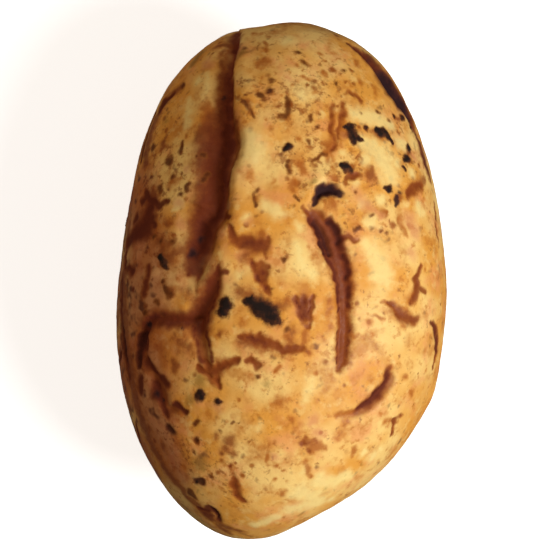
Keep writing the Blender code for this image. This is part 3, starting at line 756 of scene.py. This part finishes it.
        [(-15.5, -10.4, 0.4), (-14.9, -13, 0.4)], [(-32.4, 0.5, 1.6), (-32.6, -5, 1.8), (-32.4, -10, 2.2),
        (-32, -14, 2.4), (-31.4, -17, 2), (-30.8, -20, 1.2)],
        [(11.4, -10.4, 0.4), (11.5, -14.4, 0.4), (11, -16.8, 0.4)],
        [(-5.2, 1.6, 0.4), (-4.2, 0, 0.5), (-3, -1.4, 0.4)],
        [(3, -4.2, 0.4), (3.8, -6.5, 0.5), (4.4, -8.4, 0.4)],
    ], 0.5: [
        [(13.7, -9.4, 0.4), (13.5, -12.4, 0.4), (13, -15.4, 0.4)], [(5.8, -4, 0.4), (5.6, -7, 0.4)],
        [(-6.8, -11.9, 0.5), (-4.8, -12, 0.6)],
    ]},
    "purple": {1.0: [
        (-27.5, -9, 0.8), [(6.6, 15.4, 0.5), (7, 16.6, 0.8), (7.8, 17.9, 1.1), (9.1, 18.5, 1.4),
        (10.4, 18.4, 1.5), (11.4, 18, 1.1), (11.8, 17.3, 0.6)], [(20.4, 42, 1.4), (21.6, 40.4, 2.2),
        (22.8, 38.4, 2.6), (24, 36.6, 2.6), (25.2, 34.8, 2.2), (26, 33.4, 1.4)],
        [(23.4, 17.2, 0.6), (23.5, 16.3, 0.8), (23.4, 15.4, 0.5)],
    ], 0.8: [
        (-18.5, 5.5, 1.3),
    ], 0.7: [
        (-17, 8.8, 0.9), (-24.4, -24.4, 0.7), (-25.6, -23.3, 1),
    ], 0.6: [
        (-12.6, 38, 0.9), (17.8, 44.8, 1), (-20.5, -9.8, 0.6),
    ], 0.5: [
        # the stroke from (28.6, 25.6) along the upper right rim is painted shade
        (24.2, 18, 0.9), [(28.6, 25.6, 0.7), (29.6, 22.2, 0.7)],
    ]},
    "deep": {1.0: [      # the darkest places
        (-17.3, -32.4, 0.8), [(19.4, 43, 1.2), (20.6, 41.4, 2), (21.6, 40, 2.5), (22.8, 38.2, 2.7),
        (24, 36.6, 2.7), (25.2, 34.8, 2.2), (26, 33.4, 1.4)],
        [(7.2, 11.6, 0.7), (8.4, 9.2, 1.1), (9.4, 7, 0.9), (10.2, 5, 0.5)],
        [(6.6, 11.4, 0.4), (7.4, 9.4, 0.5), (8, 7.2, 0.5), (9, 5, 0.4)],
        [(-28.2, -11, 0.8), (-28.8, -13.2, 0.9), (-28.9, -15.2, 0.9), (-29, -17.2, 0.8)],
        # this stroke along the left rim: partly stain, partly painted shade
        [(-32.2, -10, 0.8), (-32, -13, 1), (-31.6, -16, 0.9)],
        [(-14.4, -46.2, 0.4), (-13.2, -47.4, 0.6), (-12.6, -48.4, 0.4)],
        [(-22.9, -29.5, 0.9), (-22.2, -30.6, 1)],
        [(-17.5, -40.8, 0.8), (-16.4, -40.7, 1), (-15.8, -41.4, 0.7)],
        [(7.4, 17, 0.6), (8, 18.1, 0.9), (9.4, 18.5, 1.1), (10.6, 18.3, 0.9)],
    ], 0.9: [
        (-17.4, -28.9, 0.75),
    ], 0.8: [
        [(9.8, 12, 0.6), (10.8, 10.8, 0.9), (11.5, 9.2, 0.9), (11.8, 7.4, 0.7)],
    ], 0.5: [
        [(21.4, -20, 0.5), (20, -22.2, 0.7), (18.4, -24.2, 0.7), (17.2, -25.4, 0.4)],
    ], 0.4: [
        [(12.6, 5.4, 0.6), (13.2, 3.6, 0.7), (13.6, 1.2, 0.7), (13.7, -1.4, 0.6), (13.6, -4, 0.4)],
    ]},
    "freckle": {1.0: [      # small dark brown dots
        (-20.3, 39.3, 0.8), (-2.3, 38.4, 0.75), (1.1, 27.2, 0.85), (0.6, 4.6, 0.55), (-16, 25.4, 0.6),
        (-22.8, 24.2, 0.9), (-26, 27, 0.7), (-27.5, -6.4, 0.6), (-25.2, -4.6, 0.7), (-23.7, -0.3, 0.6),
        (-14.6, -39.4, 0.5), [(-4.4, 37.6, 0.6), (-3.6, 36.9, 0.6)],
        [(-15.6, 21.6, 0.6), (-16.4, 20.4, 0.5)], [(-23.4, -1.4, 0.6), (-22.6, -2.9, 0.8)],
        [(-18.7, -42.7, 0.7), (-17.5, -43.8, 0.7)],
    ], 0.9: [
        (4.6, 44.2, 0.8), (-2.2, 40.6, 0.7), (-3.9, 37.4, 0.7), (0.2, 33.6, 0.7), (24.5, 33, 0.7),
        (26.2, 31.2, 0.7), (-24.6, 18.6, 1), (-24.4, 8, 0.6),
    ], 0.8: [
        (-6.6, 34.6, 0.6), (7.2, 31, 0.6), (5.6, 28.6, 0.6), (6.6, 40.4, 0.7), (12.6, 42.6, 0.7),
        (3.2, 46.2, 0.8), (0.9, -9.9, 0.7), (22.9, 33.2, 0.6), (24.9, 22.6, 0.6), (12.4, 20.4, 0.5),
        (19.8, 34.2, 0.5), (-22, 21.2, 0.7), (-20.5, 17.4, 0.6), (-28, 20.6, 0.5), (-26, 9, 0.7),
        (-22, 8, 0.7), (-4.7, -19.5, 0.6), [(1.1, 37.2, 0.6), (1.3, 35, 0.7), (1, 33.2, 0.6)],
        [(1.4, 24, 0.5), (1.2, 22.8, 0.5), (1.5, 21.8, 0.6)], [(17.4, 31, 0.7), (17.7, 30.2, 0.4)],
        [(-20.2, 28, 0.6), (-20.6, 26.2, 0.6)], [(-18.9, 19.4, 0.6), (-19.2, 18.2, 0.6)],
    ], 0.7: [
        (-6.9, 37.6, 0.5), (-0.3, 33.2, 0.7), (21.8, 32.4, 0.6), (15.2, 18.2, 0.6), (13.8, 14.2, 0.5),
        (18.2, 13.2, 0.5), (20, 10.2, 0.5), (21.2, 9.6, 0.6), (-17.2, 25.4, 0.5), (-22.5, 25.2, 0.5),
        (-17.7, -34.6, 0.6), (-9.8, -28.9, 0.5), [(-7.8, 36.2, 0.5), (-6.8, 35, 0.5), (-5.6, 33.1, 0.5)],
        [(5.8, 33.8, 0.5), (5.8, 32.6, 0.6)],
        [(-4.6, 18.5, 0.5), (-5.7, 17.4, 0.5), (-5.3, 16, 0.6), (-5.2, 15.2, 0.5)],
        [(14.6, 10.6, 0.6), (15.6, 11, 0.6)], [(2.6, 17, 0.4), (3.6, 16.2, 0.4)],
    ], 0.6: [
        (-4.8, 35.6, 0.6), (2.2, 31.6, 0.5), (-0.2, 46, 0.5), (1.2, 42.8, 0.6), (10.9, 40, 0.6),
        (10, 37.4, 0.5), (7.8, 39, 0.5), (18.4, 10.6, 0.6), (2.6, 14.8, 0.5), (16, 34.2, 0.5),
        (-20.4, 21.5, 0.5), (-22.6, 18.9, 0.5), (-17.4, -28.9, 0.9), (-17.3, -32.4, 0.9), (-12, -28.8, 0.4),
        (-12.4, -30.6, 0.6), [(6.3, 24.5, 0.6), (7.6, 25.4, 0.4), (9.6, 26, 0.4)],
    ], 0.5: [
        (-19, 38.3, 0.5), (7.6, 33.6, 0.5), (-5.2, 13.2, 0.6), (-8.8, -28.4, 0.4),
    ]},
    "speckled": {1.0: [      # where small specks crowd
        [(-6, 38, 8), (2, 38, 9), (10, 40, 9), (14, 30, 8)], [(6, 24, 8), (14, 18, 8), (18, 12, 6)],
        [(22, 30, 7), (26, 24, 5)], [(-24, 30, 8), (-24, 20, 8), (-25, 8, 6)],
        [(-20, -35, 8), (-12, -40, 6)],
    ]},
    "russet": {1.0: [      # where the left flank is darker and redder: partly russet, partly painted shade of the side turned from the light
        [(-29, 18, 5), (-28, 8, 7), (-28, -4, 8), (-28, -16, 8), (-26, -28, 7), (-22, -38, 5)],
    ]},
    "scurf": {1.0: [      # black crusts that stand on the skin
        (-6.2, -3.6, 0.5), (-0.8, -8.4, 0.7), (-16.6, -23.4, 1.3), (-12.7, -24.6, 0.9), (25.8, 26.8, 0.95),
        (1.1, 27.2, 0.9), [(-11.7, -6.2, 1.5), (-11.3, -4.9, 1.5)],
        [(-6.9, -4.5, 1), (-5.4, -4.9, 1.7), (-3.6, -5.9, 2), (-2.2, -7, 2), (-1.6, -7.7, 1.6)],
        [(-24.6, 4.6, 0.8), (-24, 3.8, 1), (-23.5, 2.8, 0.7)], [(12.8, 31, 0.4), (14.2, 31.1, 0.95)],
        [(14.6, 30, 1.1), (14.3, 28.5, 0.95)], [(15.8, 28.7, 0.9), (16.4, 28.6, 0.6)],
        [(19.3, 30.7, 0.6), (20.4, 30.2, 1), (21.4, 29.6, 0.95), (22, 28.5, 0.75), (22.3, 27.6, 0.5)],
        [(25.6, 24.8, 0.95), (25.1, 24.3, 0.6)], [(12.9, 23.2, 0.85), (13.6, 22.5, 0.9)],
        [(20.9, 18.8, 0.4), (21.9, 18.4, 0.9)],
    ], 0.9: [
        (24.9, 22.6, 0.7),
    ], 0.8: [
        (17.5, 30.9, 0.7), (24.6, 32.8, 0.7), (26.2, 31, 0.7), (27.2, 29.6, 0.5), (-2.3, 38.4, 0.7),
    ], 0.7: [
        (-17, -41, 0.8), (22.8, 33.2, 0.6),
    ]},
}


brush = {
    "waves": (6.1, 3.7, 2.3), "sway": 0.12 * mm,        # wave lengths in millimetres
    "secondWave": 1.3, "turns": ((0.3, 1.9, 4.1), (2.2, 0.8, 3.3)),
    "farField": -3.0,       # the field far from every stroke
    "leastSquare": 1e-12,       # keeps the squared length of a spot off zero
}


def wobbled(places):        # a gentle unrest, so that no stroke is quite straight
    moved = places.copy()
    first, second = (np.array(turns) for turns in brush["turns"])
    for wave in brush["waves"]:
        rate = 2 * math.pi / (wave * mm)
        moved += brush["sway"] * np.sin(places[:, (1, 2, 0)] * rate + first * wave)
        moved += brush["sway"] * np.sin(places[:, (2, 0, 1)] * rate * brush["secondWave"] + second)
    return moved


def strokesOf(groups):      # every stroke with its strength
    return [(strength, stroke if isinstance(stroke, list) else [stroke])
            for strength, strokes in groups.items() for stroke in strokes]


def paintField(strokes, places, placeOn):
    field = np.full(len(places), brush["farField"])
    for strength, points in strokes:
        spots = [(np.array(placeOn(*point[:-1])), point[-1] * mm) for point in points]
        for (start, startWidth), (end, endWidth) in zip(spots, spots[1:] or spots):
            along = end - start
            share = (places - start) @ along / max(along @ along, brush["leastSquare"])
            share = np.clip(share, 0.0, 1.0)
            distance = np.linalg.norm(places - start - share[:, None] * along, axis=1)
            width = startWidth + share * (endWidth - startWidth)
            field = np.maximum(field, strength - distance / width)
    return field


# marks of the sides and the underside: strokes of (clock angle, lift, half width in millimetres)
lowMarks = {
    "russet": {1.0: [      # tongues of the darker left flank, partly russet and partly painted shade
        [(250, 8, 6), (246, -4, 5), (243, -14, 3)], [(268, 8, 7), (272, -6, 5)],
        [(288, 8, 6), (291, -4, 4), (296, -12, 2.5)], [(232, 6, 5), (226, -4, 3)],
    ]},
    "rust": {0.7: [
        [(262, 9, 2.5), (259, 2, 2.5), (257, -6, 2)],
    ], 0.6: [
        [(284, 10, 3), (287, 2, 2.5), (286, -3, 1.6)], [(243, 9, 2.5), (240, 2, 2.2), (236, -6, 1.6)],
        [(273, 7, 3), (275, 0, 2)], [(226, 6, 2), (221, -1, 1.6)],
    ], 0.5: [
        [(299, 6, 3), (303, 0, 2)],
    ]},
    "scar": {1.0: [
        [(84, -16, 0.5), (92, -20, 0.9), (99, -19, 0.6)], [(60, -20, 0.6), (66, -24, 1.1), (70, -30, 0.7)],
        [(130, -22, 0.6), (137, -26, 1.0), (143, -25, 0.5)],
        [(200, -24, 0.6), (206, -30, 1.1), (205, -37, 0.6)],
        [(246, -12, 0.7), (252, -18, 1.1), (250, -25, 0.7)],
        [(282, -30, 0.6), (290, -34, 1.0), (297, -33, 0.5)],
        [(330, -14, 0.6), (336, -20, 1.0), (335, -27, 0.5)],
        [(15, -30, 0.6), (20, -36, 1.1), (27, -38, 0.6)], [(75, -60, 0.6), (85, -64, 1.0), (95, -63, 0.5)],
        [(180, -62, 0.7), (190, -68, 1.1), (204, -70, 0.6)],
        [(300, -62, 0.6), (312, -66, 1.0), (318, -72, 0.6)], [(150, -48, 0.6), (147, -54, 0.9)],
    ]},
    "redBrown": {1.0: [
        [(256, -30, 0.8), (264, -35, 1.5), (272, -40, 1.3), (280, -46, 0.6)],
        [(108, -30, 0.6), (114, -38, 1.3), (118, -46, 0.8)], [(350, -33, 0.6), (0, -40, 1.2), (8, -48, 0.7)],
    ]},
    "crack": {1.0: [
        [(258, -31, 0.3), (265, -35, 0.7), (272, -40, 0.7), (279, -45, 0.3)],
        [(110, -33, 0.4), (115, -39, 0.7), (118, -45, 0.4)], [(352, -34, 0.4), (1, -41, 0.7), (7, -47, 0.4)],
        [(160, -16, 0.5), (166, -20, 0.8), (173, -20, 0.5)],
        [(30, -12, 0.4), (36, -16, 0.8), (43, -16, 0.4)], [(254, 12, 0.6), (252, 5, 0.8), (254, -1, 0.4)],
        [(277, 12, 0.5), (279, 6, 0.7), (277, 1, 0.4)], [(238, 11, 0.5), (234, 5, 0.7)],
    ]},
    "scurf": {1.0: [
        (120, -14, 0.9), (215, -18, 1.1), (300, -16, 0.9), (320, -44, 1.3), (35, -55, 1.2), (160, -75, 1.4),
        (0, -22, 0.9), (185, -48, 0.9), (45, -30, 0.7), [(75, -25, 1.1), (77, -28, 1.4)],
        [(125, -52, 1.5), (130, -56, 1.8)], [(255, -46, 1.2), (261, -49, 1.0)],
    ]},
}
strewn = {      # more of them, strewn below the rim
    "drop": (0.12, 0.99), "reach": (1.0, 3.5), "thinEnd": 0.8,
    # mark: how many, smallest and largest radius in millimetres
    "marks": {
        "pale": (26, 1.2, 3.4), "ochre": (60, 0.7, 2.0), "rust": (34, 0.8, 2.6), "pink": (14, 1.0, 2.2),
        "olive": (12, 0.8, 1.8), "freckle": (110, 0.35, 0.95), "scurf": (22, 0.4, 0.9),
        "speckled": (7, 5.0, 9.0),
    },
}


def strewMarks(name):
    if name not in strewn["marks"]:
        return []
    count, smallest, largest = strewn["marks"][name]
    chance = np.random.default_rng(len(name) + count)
    strokes = []
    for _ in range(count):
        clock = chance.uniform(0, 360)
        lift = -math.degrees(math.asin(chance.uniform(*strewn["drop"])))
        radius = chance.uniform(smallest, largest)
        turn = chance.uniform(0, 2 * math.pi)
        reach = chance.uniform(*strewn["reach"])
        end = (clock + reach * math.cos(turn), lift + reach * math.sin(turn), radius * strewn["thinEnd"])
        strokes.append((1.0, [(clock, lift, radius), end]))
    return strokes


def paintMarks():
    mesh = skin.data
    places = np.empty((len(mesh.vertices), 3), "f")
    mesh.attributes["bodyPlace"].data.foreach_get("vector", places.ravel())
    places = wobbled(places)
    for name, groups in marks.items():
        above = strokesOf(groups)
        below = strokesOf(lowMarks.get(name, {})) + strewMarks(name)
        field = np.maximum(paintField(above, places, onTop), paintField(below, places, onSide))
        mesh.attributes.new(name, "FLOAT", "POINT").data.foreach_set("value", field)
        print("painted", name, len(above), "above,", len(below), "below")


paintMarks()


# fine relief of the whole skin

relief = {
    # grain, shift and roughness of the unevenness all over
    "grains": {"lumps": (7.0 * mm, 3.1, 0.5), "pimples": (1.3 * mm, 1.7, 0.6)},
    "heights": {        # how far each stands out
        "lumps": 0.55 * mm, "pimples": 0.16 * mm, "scar": -0.22 * mm, "crack": -0.18 * mm,
        "deep": -0.3 * mm, "freckle": 0.08 * mm, "scurf": 0.22 * mm,
    },
    "fullMark": 0.6,        # the field where a mark has its whole height
    "fade": (0.1 * mm, 2.0 * mm),       # heights over the floor where the relief begins and is whole
}


def makeReliefTree():
    tree, given, result = newTree("roughenSkin", {name.capitalize(): "Float" for name in relief["heights"]})
    place = hereIn(tree)
    height = 0.0
    for name in relief["heights"]:
        if name in relief["grains"]:
            share = swingAt(tree, place, *relief["grains"][name])
        else:
            share = ramp(tree, readAttribute(tree, name), 0.0, relief["fullMark"])
        height = calc(tree, "MULTIPLY_ADD", share, given[name.capitalize()], height)
    level = addNode(tree, "ShaderNodeSeparateXYZ", {"Vector": place}).outputs["Z"]
    height = calc(tree, "MULTIPLY", height, ramp(tree, level, *relief["fade"]))
    return endTree(tree, pushOut(tree, given["Geometry"], height), result)


def roughenSkin():
    heights = {name.capitalize(): height for name, height in relief["heights"].items()}
    useTree(skin, makeReliefTree(), heights)
    plainMesh(skin)
    print("skin roughened")


roughenSkin()


# the skin's colour and surface

def tone(red, green, blue):     # a colour as it is seen, 0 to 255, in the renderer's own measure
    values = [value / 255 for value in (red, green, blue)]
    linear = [value / 12.92 if value < 0.04045 else ((value + 0.055) / 1.055) ** 2.4 for value in values]
    return (*linear, 1.0)


skinLook = {
    "colours": {
        "cream": tone(246, 204, 122), "golden": tone(230, 160, 66), "rosy": tone(232, 154, 92),
        "amber": tone(192, 114, 40), "brown": tone(146, 80, 34), "speck": tone(152, 78, 22),
        # groove is painted shade down in the furrows and cracks
        "groove": tone(150, 78, 38), "crest": tone(140, 72, 34), "darker": tone(100, 48, 28),
        "russet": tone(208, 174, 190),      # multiplied in: russet, and painted shade on the left flank
        "eyeHalo": tone(176, 104, 44), "eyeRim": tone(112, 52, 24), "bud": tone(226, 158, 104),
    },
    # grain, detail, roughness, shift
    "noises": {
        "broad": (13 * mm, 2.0, 0.5, 0.3), "crowding": (9 * mm, 2.0, 0.5, 4.1),
        "darker": (2.4 * mm, 1.5, 0.5, 2.9), "fine": (0.7 * mm, 3.0, 0.6, 2.3),
        "pores": (0.35 * mm, 2.0, 0.5, 0.9),
    },
    # where a mask starts and where it is full, then its values there
    "steps": {
        "golden": (0.36, 0.62), "crowding": (0.35, 0.65, 0.0, 0.3), "speckled": (-0.2, 0.6, 0.0, 0.7),
        # the flank step darkens the upper left flank: partly russet, partly painted shade
        "flankRussetShade": (-12 * mm, -30 * mm, 0.0, 0.2), "flankTop": (12 * mm, 30 * mm),
        # the groove step is painted shade in the furrows and cracks
        "darker": (0.63, 0.86, 0.0, 0.85), "russet": (-0.6, 0.6), "groove": (0.1, 0.7, 0.0, 0.75),
        "crest": (0.1, 0.45, 0.0, 0.4), "eyeHalo": (1.7, 0.6, 0.0, 0.8),
        "eyeRim": (0.35, 0.05, 0.0, 0.85), "bud": (0.4, 0.15, 0.0, 0.7), "roughness": (0.3, 0.7, 0.42, 0.58),
    },
    "shine": 0.15, "darkRoughness": 0.8, "fineShare": 1.6, "bumpStrength": 0.5, "bumpDepth": 0.06 * mm,
    "flankSway": 14 * mm,       # how far the broad noise moves the edge of the darker left flank, which is partly russet and partly painted shade
    "eyeEdge": (1.5 * mm, 3.3), "eyeRagged": 1.2, "eyeRimAt": 0.75,     # grain and shift, share, radii out
    # colour, grain, where it starts and is full, strength, how much crowding counts, shift
    "mottles": {
        "rosy": ("rosy", 7.0 * mm, 0.48, 0.7, 0.7, 0.0, 1.1),
        "broadAmber": ("amber", 4.5 * mm, 0.49, 0.72, 0.65, 0.0, 0.7),
        "smallCream": ("cream", 2.6 * mm, 0.52, 0.7, 0.5, 0.0, 8.1),
        "smallAmber": ("amber", 1.8 * mm, 0.5, 0.7, 0.7, 0.4, 1.9),
        "brown": ("brown", 1.6 * mm, 0.5, 0.66, 0.7, 1.0, 5.3),
        "fineBrown": ("brown", 0.9 * mm, 0.56, 0.72, 0.5, 1.0, 6.1),
    },
    "thinning": 0.12,       # how far a mottle's noise sinks where specks don't crowd
    # cell size, share of cells, smallest and largest spot in cells, strength
    "dots": {
        "small": (2.3 * mm, 0.5, 0.16, 0.34, 0.8), "large": (3.8 * mm, 0.5, 0.13, 0.25, 0.9),
    },
    "dotEdge": (1.35, 0.35), "bendScale": 0.6 / mm, "bend": 0.6 * mm,       # soft, bent outlines
    # mark: colour at its edge and in its middle, where it starts and is full, raggedness and
    # its grain, strength
    "marks": {
        # pale: creamy skin, and painted highlights
        "pale": (tone(252, 214, 130), tone(255, 230, 150), -0.5, 0.8, 0.5, 2.0 * mm, 0.7),
        "ochre": (tone(208, 126, 42), tone(174, 94, 28), -0.5, 0.8, 0.6, 1.4 * mm, 0.85),
        "olive": (tone(160, 130, 60), tone(134, 104, 44), -0.5, 0.8, 0.4, 1.3 * mm, 0.6),
        "pink": (tone(232, 160, 108), tone(216, 138, 90), -0.5, 0.8, 0.4, 1.5 * mm, 0.6),
        "rust": (tone(180, 100, 36), tone(138, 68, 26), -0.6, 0.7, 0.6, 1.4 * mm, 0.85),
        "scar": (tone(172, 94, 36), tone(134, 62, 22), -0.6, 0.5, 0.3, 1.4 * mm, 0.92),
        "redBrown": (tone(152, 80, 34), tone(112, 46, 22), -1.0, 0.5, 0.4, 2.0 * mm, 0.93),
        "crack": (tone(126, 56, 28), tone(98, 38, 22), -0.6, 0.5, 0.2, 1.8 * mm, 0.93),
        "deep": (tone(98, 42, 24), tone(70, 27, 18), -0.5, 0.5, 0.2, 1.6 * mm, 0.93),
        "purple": (tone(84, 42, 34), tone(44, 22, 26), -0.45, 0.35, 0.3, 1.2 * mm, 0.95),
        "freckle": (tone(150, 84, 30), tone(94, 44, 12), -0.8, 0.35, 0.4, 0.8 * mm, 0.92),
        "scurf": (tone(96, 52, 28), tone(34, 22, 18), -0.45, 0.25, 0.4, 0.9 * mm, 1.0),
    },
    "darkMarks": ("crack", "purple", "deep", "scurf"),      # these are dull as well
    "markShift": 0.43,      # moves each mark's noise, by the letters of its name
    "markMiddle": (1.6 * mm, 1.9), "fullMiddle": 0.8,       # grain and shift, field where it is full
}


def mixColour(tree, share, first, second, blend="MIX"):
    node = addNode(tree, "ShaderNodeMix", data_type="RGBA", blend_type=blend)
    feed(tree, node.inputs["Factor"], share)
    feed(tree, node.inputs[6], first)
    feed(tree, node.inputs[7], second)
    return node.outputs[2]


def shaderAttribute(tree, name):
    return addNode(tree, "ShaderNodeAttribute", attribute_name=name).outputs["Fac"]


def noiseOf(tree, name, place):     # noises and steps go by their names in the dictionary
    return noiseAt(tree, place, *skinLook["noises"][name])


def stepOf(tree, name, value):
    return ramp(tree, value, *skinLook["steps"][name])


def tint(tree, colour, name, value, blend="MIX"):       # lays a colour over by the step of its name
    return mixColour(tree, stepOf(tree, name, value), colour, skinLook["colours"][name], blend)


def dotMask(tree, place, crowding, cell, share, smallest, largest, strength):
    cells = addNode(tree, "ShaderNodeTexVoronoi", {"Vector": place, "Scale": 1.0 / cell})
    chance = addNode(tree, "ShaderNodeSeparateColor", {"Color": cells.outputs["Color"]}).outputs
    radius = calc(tree, "MULTIPLY_ADD", chance["Red"], largest - smallest, smallest)
    inside = calc(tree, "DIVIDE", cells.outputs["Distance"], radius)
    spot = ramp(tree, inside, *skinLook["dotEdge"], 0.0, strength)
    present = calc(tree, "LESS_THAN", chance["Green"], calc(tree, "MULTIPLY", crowding, share))
    return calc(tree, "MULTIPLY", spot, present)


def mottleMask(tree, place, crowding, grain, start, full, strength, counts, shift):
    lumps = noiseAt(tree, place, grain, 3.0, 0.6, shift)
    thinned = calc(tree, "MULTIPLY", calc(tree, "SUBTRACT", crowding, 1.0), skinLook["thinning"] * counts)
    return ramp(tree, calc(tree, "ADD", lumps, thinned), start, full, 0.0, strength)


def paintSkin(tree, place):     # the clean skin with its mottles and specks, and the darker upper left flank, which is partly painted shade
    colours = skinLook["colours"]
    crowding = stepOf(tree, "crowding", noiseOf(tree, "crowding", place))
    speckled = stepOf(tree, "speckled", shaderAttribute(tree, "speckled"))
    crowding = calc(tree, "ADD", crowding, speckled, clamp=True)
    broad = noiseOf(tree, "broad", place)
    colour = tint(tree, colours["cream"], "golden", broad)
    for name, *spec in skinLook["mottles"].values():
        colour = mixColour(tree, mottleMask(tree, place, crowding, *spec), colour, colours[name])
    unrest = addNode(tree, "ShaderNodeTexNoise", {"Vector": place, "Scale": skinLook["bendScale"]})
    bend = vectorCalc(tree, "SCALE", unrest.outputs["Color"], skinLook["bend"])
    bent = vectorCalc(tree, "ADD", place, bend)
    for spec in skinLook["dots"].values():
        colour = mixColour(tree, dotMask(tree, bent, crowding, *spec), colour, colours["speck"])
    parts = addNode(tree, "ShaderNodeSeparateXYZ", {"Vector": place}).outputs
    # the upper left flank darker and browner: partly russet, partly painted shade of the side turned from
    # the key light
    flankRussetShade = stepOf(tree, "flankRussetShade", calc(tree, "MULTIPLY_ADD", broad, skinLook["flankSway"], parts["X"]))
    flankRussetShade = calc(tree, "MULTIPLY", flankRussetShade, stepOf(tree, "flankTop", parts["Z"]))
    colour = tint(tree, colour, "darker", calc(tree, "ADD", noiseOf(tree, "darker", place), flankRussetShade))
    # the russet strokes multiplied in, partly painted shade of the left flank
    return tint(tree, colour, "russet", shaderAttribute(tree, "russet"), "MULTIPLY")


def paintEyes(tree, place, colour):
    torn = swingAt(tree, place, *skinLook["eyeEdge"])
    eye = calc(tree, "MULTIPLY_ADD", torn, skinLook["eyeRagged"], shaderAttribute(tree, "eye"))
    colour = tint(tree, colour, "eyeHalo", eye)
    fromRim = calc(tree, "ABSOLUTE", calc(tree, "SUBTRACT", eye, skinLook["eyeRimAt"]))
    return tint(tree, tint(tree, colour, "eyeRim", fromRim), "bud", eye)


def paintSkinMarks(tree, place, colour):
    small = calc(tree, "MULTIPLY", swingAt(tree, place, *skinLook["markMiddle"]), 2.0)
    dark = 0.0
    for name, (edge, middle, start, full, ragged, grain, strength) in skinLook["marks"].items():
        torn = swingAt(tree, place, grain, len(name) * skinLook["markShift"])
        field = calc(tree, "MULTIPLY_ADD", torn, ragged * 2.0, shaderAttribute(tree, name))
        inner = ramp(tree, calc(tree, "ADD", small, field), start, skinLook["fullMiddle"])
        share = ramp(tree, field, start, full, 0.0, strength)
        colour = mixColour(tree, share, colour, mixColour(tree, inner, edge, middle))
        if name in skinLook["darkMarks"]:
            dark = calc(tree, "MAXIMUM", dark, share)
    return colour, dark


def fillSkinMaterial():
    skinMaterial.use_nodes = True
    tree = skinMaterial.node_tree
    place = addNode(tree, "ShaderNodeTexCoord").outputs["Object"]
    # painted shade: the skin turns darker brown down in the furrows and cracks, more where they are deeper
    colour = tint(tree, paintSkin(tree, place), "groove", shaderAttribute(tree, "furrow"))
    colour, dark = paintSkinMarks(tree, place, paintEyes(tree, place, colour))
    fine = noiseOf(tree, "fine", place)
    height = calc(tree, "MULTIPLY_ADD", fine, skinLook["fineShare"], noiseOf(tree, "pores", place))
    bump = addNode(tree, "ShaderNodeBump", {
        "Height": height, "Strength": skinLook["bumpStrength"], "Distance": skinLook["bumpDepth"]})
    looks = {
        "Base Color": tint(tree, colour, "crest", shaderAttribute(tree, "crest")),
        "Roughness": between(tree, dark, stepOf(tree, "roughness", fine), skinLook["darkRoughness"]),
        "Normal": bump.outputs[0], "Specular IOR Level": skinLook["shine"],
    }
    for label, value in looks.items():
        feed(tree, tree.nodes["Principled BSDF"].inputs[label], value)
    print("skin material made,", len(tree.nodes), "nodes; slots:", len(skin.data.materials))


fillSkinMaterial()


# floor and light

stage = {
    "floorSize": 3.0,
    "floorLook": {
        "Base Color": (0.9, 0.9, 0.9, 1.0), "Roughness": 0.9,
        "Emission Color": (1.0, 1.0, 1.0, 1.0), "Emission Strength": 0.7,
    },
    # the way towards it, distance, size, power, colour
    "lights": {
        "key": ((0.7, -0.28, 0.66), 1.0, 0.5, 10.0, (1.0, 1.0, 1.0)),
        "fill": ((-0.5, 0.45, 0.74), 1.0, 0.8, 2.6, (1.0, 0.78, 0.56)),
    },
    "worldColour": (1.0, 0.88, 0.74, 1.0), "worldStrength": 0.13,
    "wallColour": (1.0, 1.0, 1.0, 1.0), "wallStrength": 1.0,
}


def makeFloor():
    mesh = bpy.data.meshes.new("floor")
    half = stage["floorSize"] / 2
    mesh.from_pydata([(-half, -half, 0), (half, -half, 0), (half, half, 0), (-half, half, 0)], [],
                     [(0, 1, 2, 3)])
    floor = newPiece("floor", mesh)
    material = bpy.data.materials.new("paleFloor")
    material.use_nodes = True
    for label, value in stage["floorLook"].items():
        material.node_tree.nodes["Principled BSDF"].inputs[label].default_value = value
    mesh.materials.append(material)
    floor.visible_diffuse = False       # no light thrown up on the flanks
    floor.visible_glossy = False


def makeLight(name, aim, distance, size, power, colour):
    data = bpy.data.lights.new(name, "AREA")
    data.shape = "DISK"
    data.size = size
    data.energy = power
    data.color = colour
    light = bpy.data.objects.new(name, data)
    direction = Vector(aim).normalized()
    light.location = direction * distance + Vector((0, 0, camera["aimHeight"]))
    light.rotation_euler = direction.to_track_quat("Z", "Y").to_euler()
    bpy.context.scene.collection.objects.link(light)


def makeWorld():
    world = bpy.data.worlds.new("paleRoom")
    world.use_nodes = True
    tree = world.node_tree
    background = tree.nodes["Background"]
    seen = addNode(tree, "ShaderNodeLightPath").outputs["Is Camera Ray"]    # a white wall, dim as a light
    strength = ramp(tree, seen, 0.0, 1.0, stage["worldStrength"], stage["wallStrength"])
    feed(tree, background.inputs["Color"], mixColour(tree, seen, stage["worldColour"], stage["wallColour"]))
    feed(tree, background.inputs["Strength"], strength)
    bpy.context.scene.world = world


makeFloor()
for name, spec in stage["lights"].items():
    makeLight(name, *spec)
makeWorld()
bpy.context.scene.view_settings.view_transform = "Standard"
print("floor and lights made")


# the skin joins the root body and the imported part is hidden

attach(skin, "root")
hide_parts("potato")
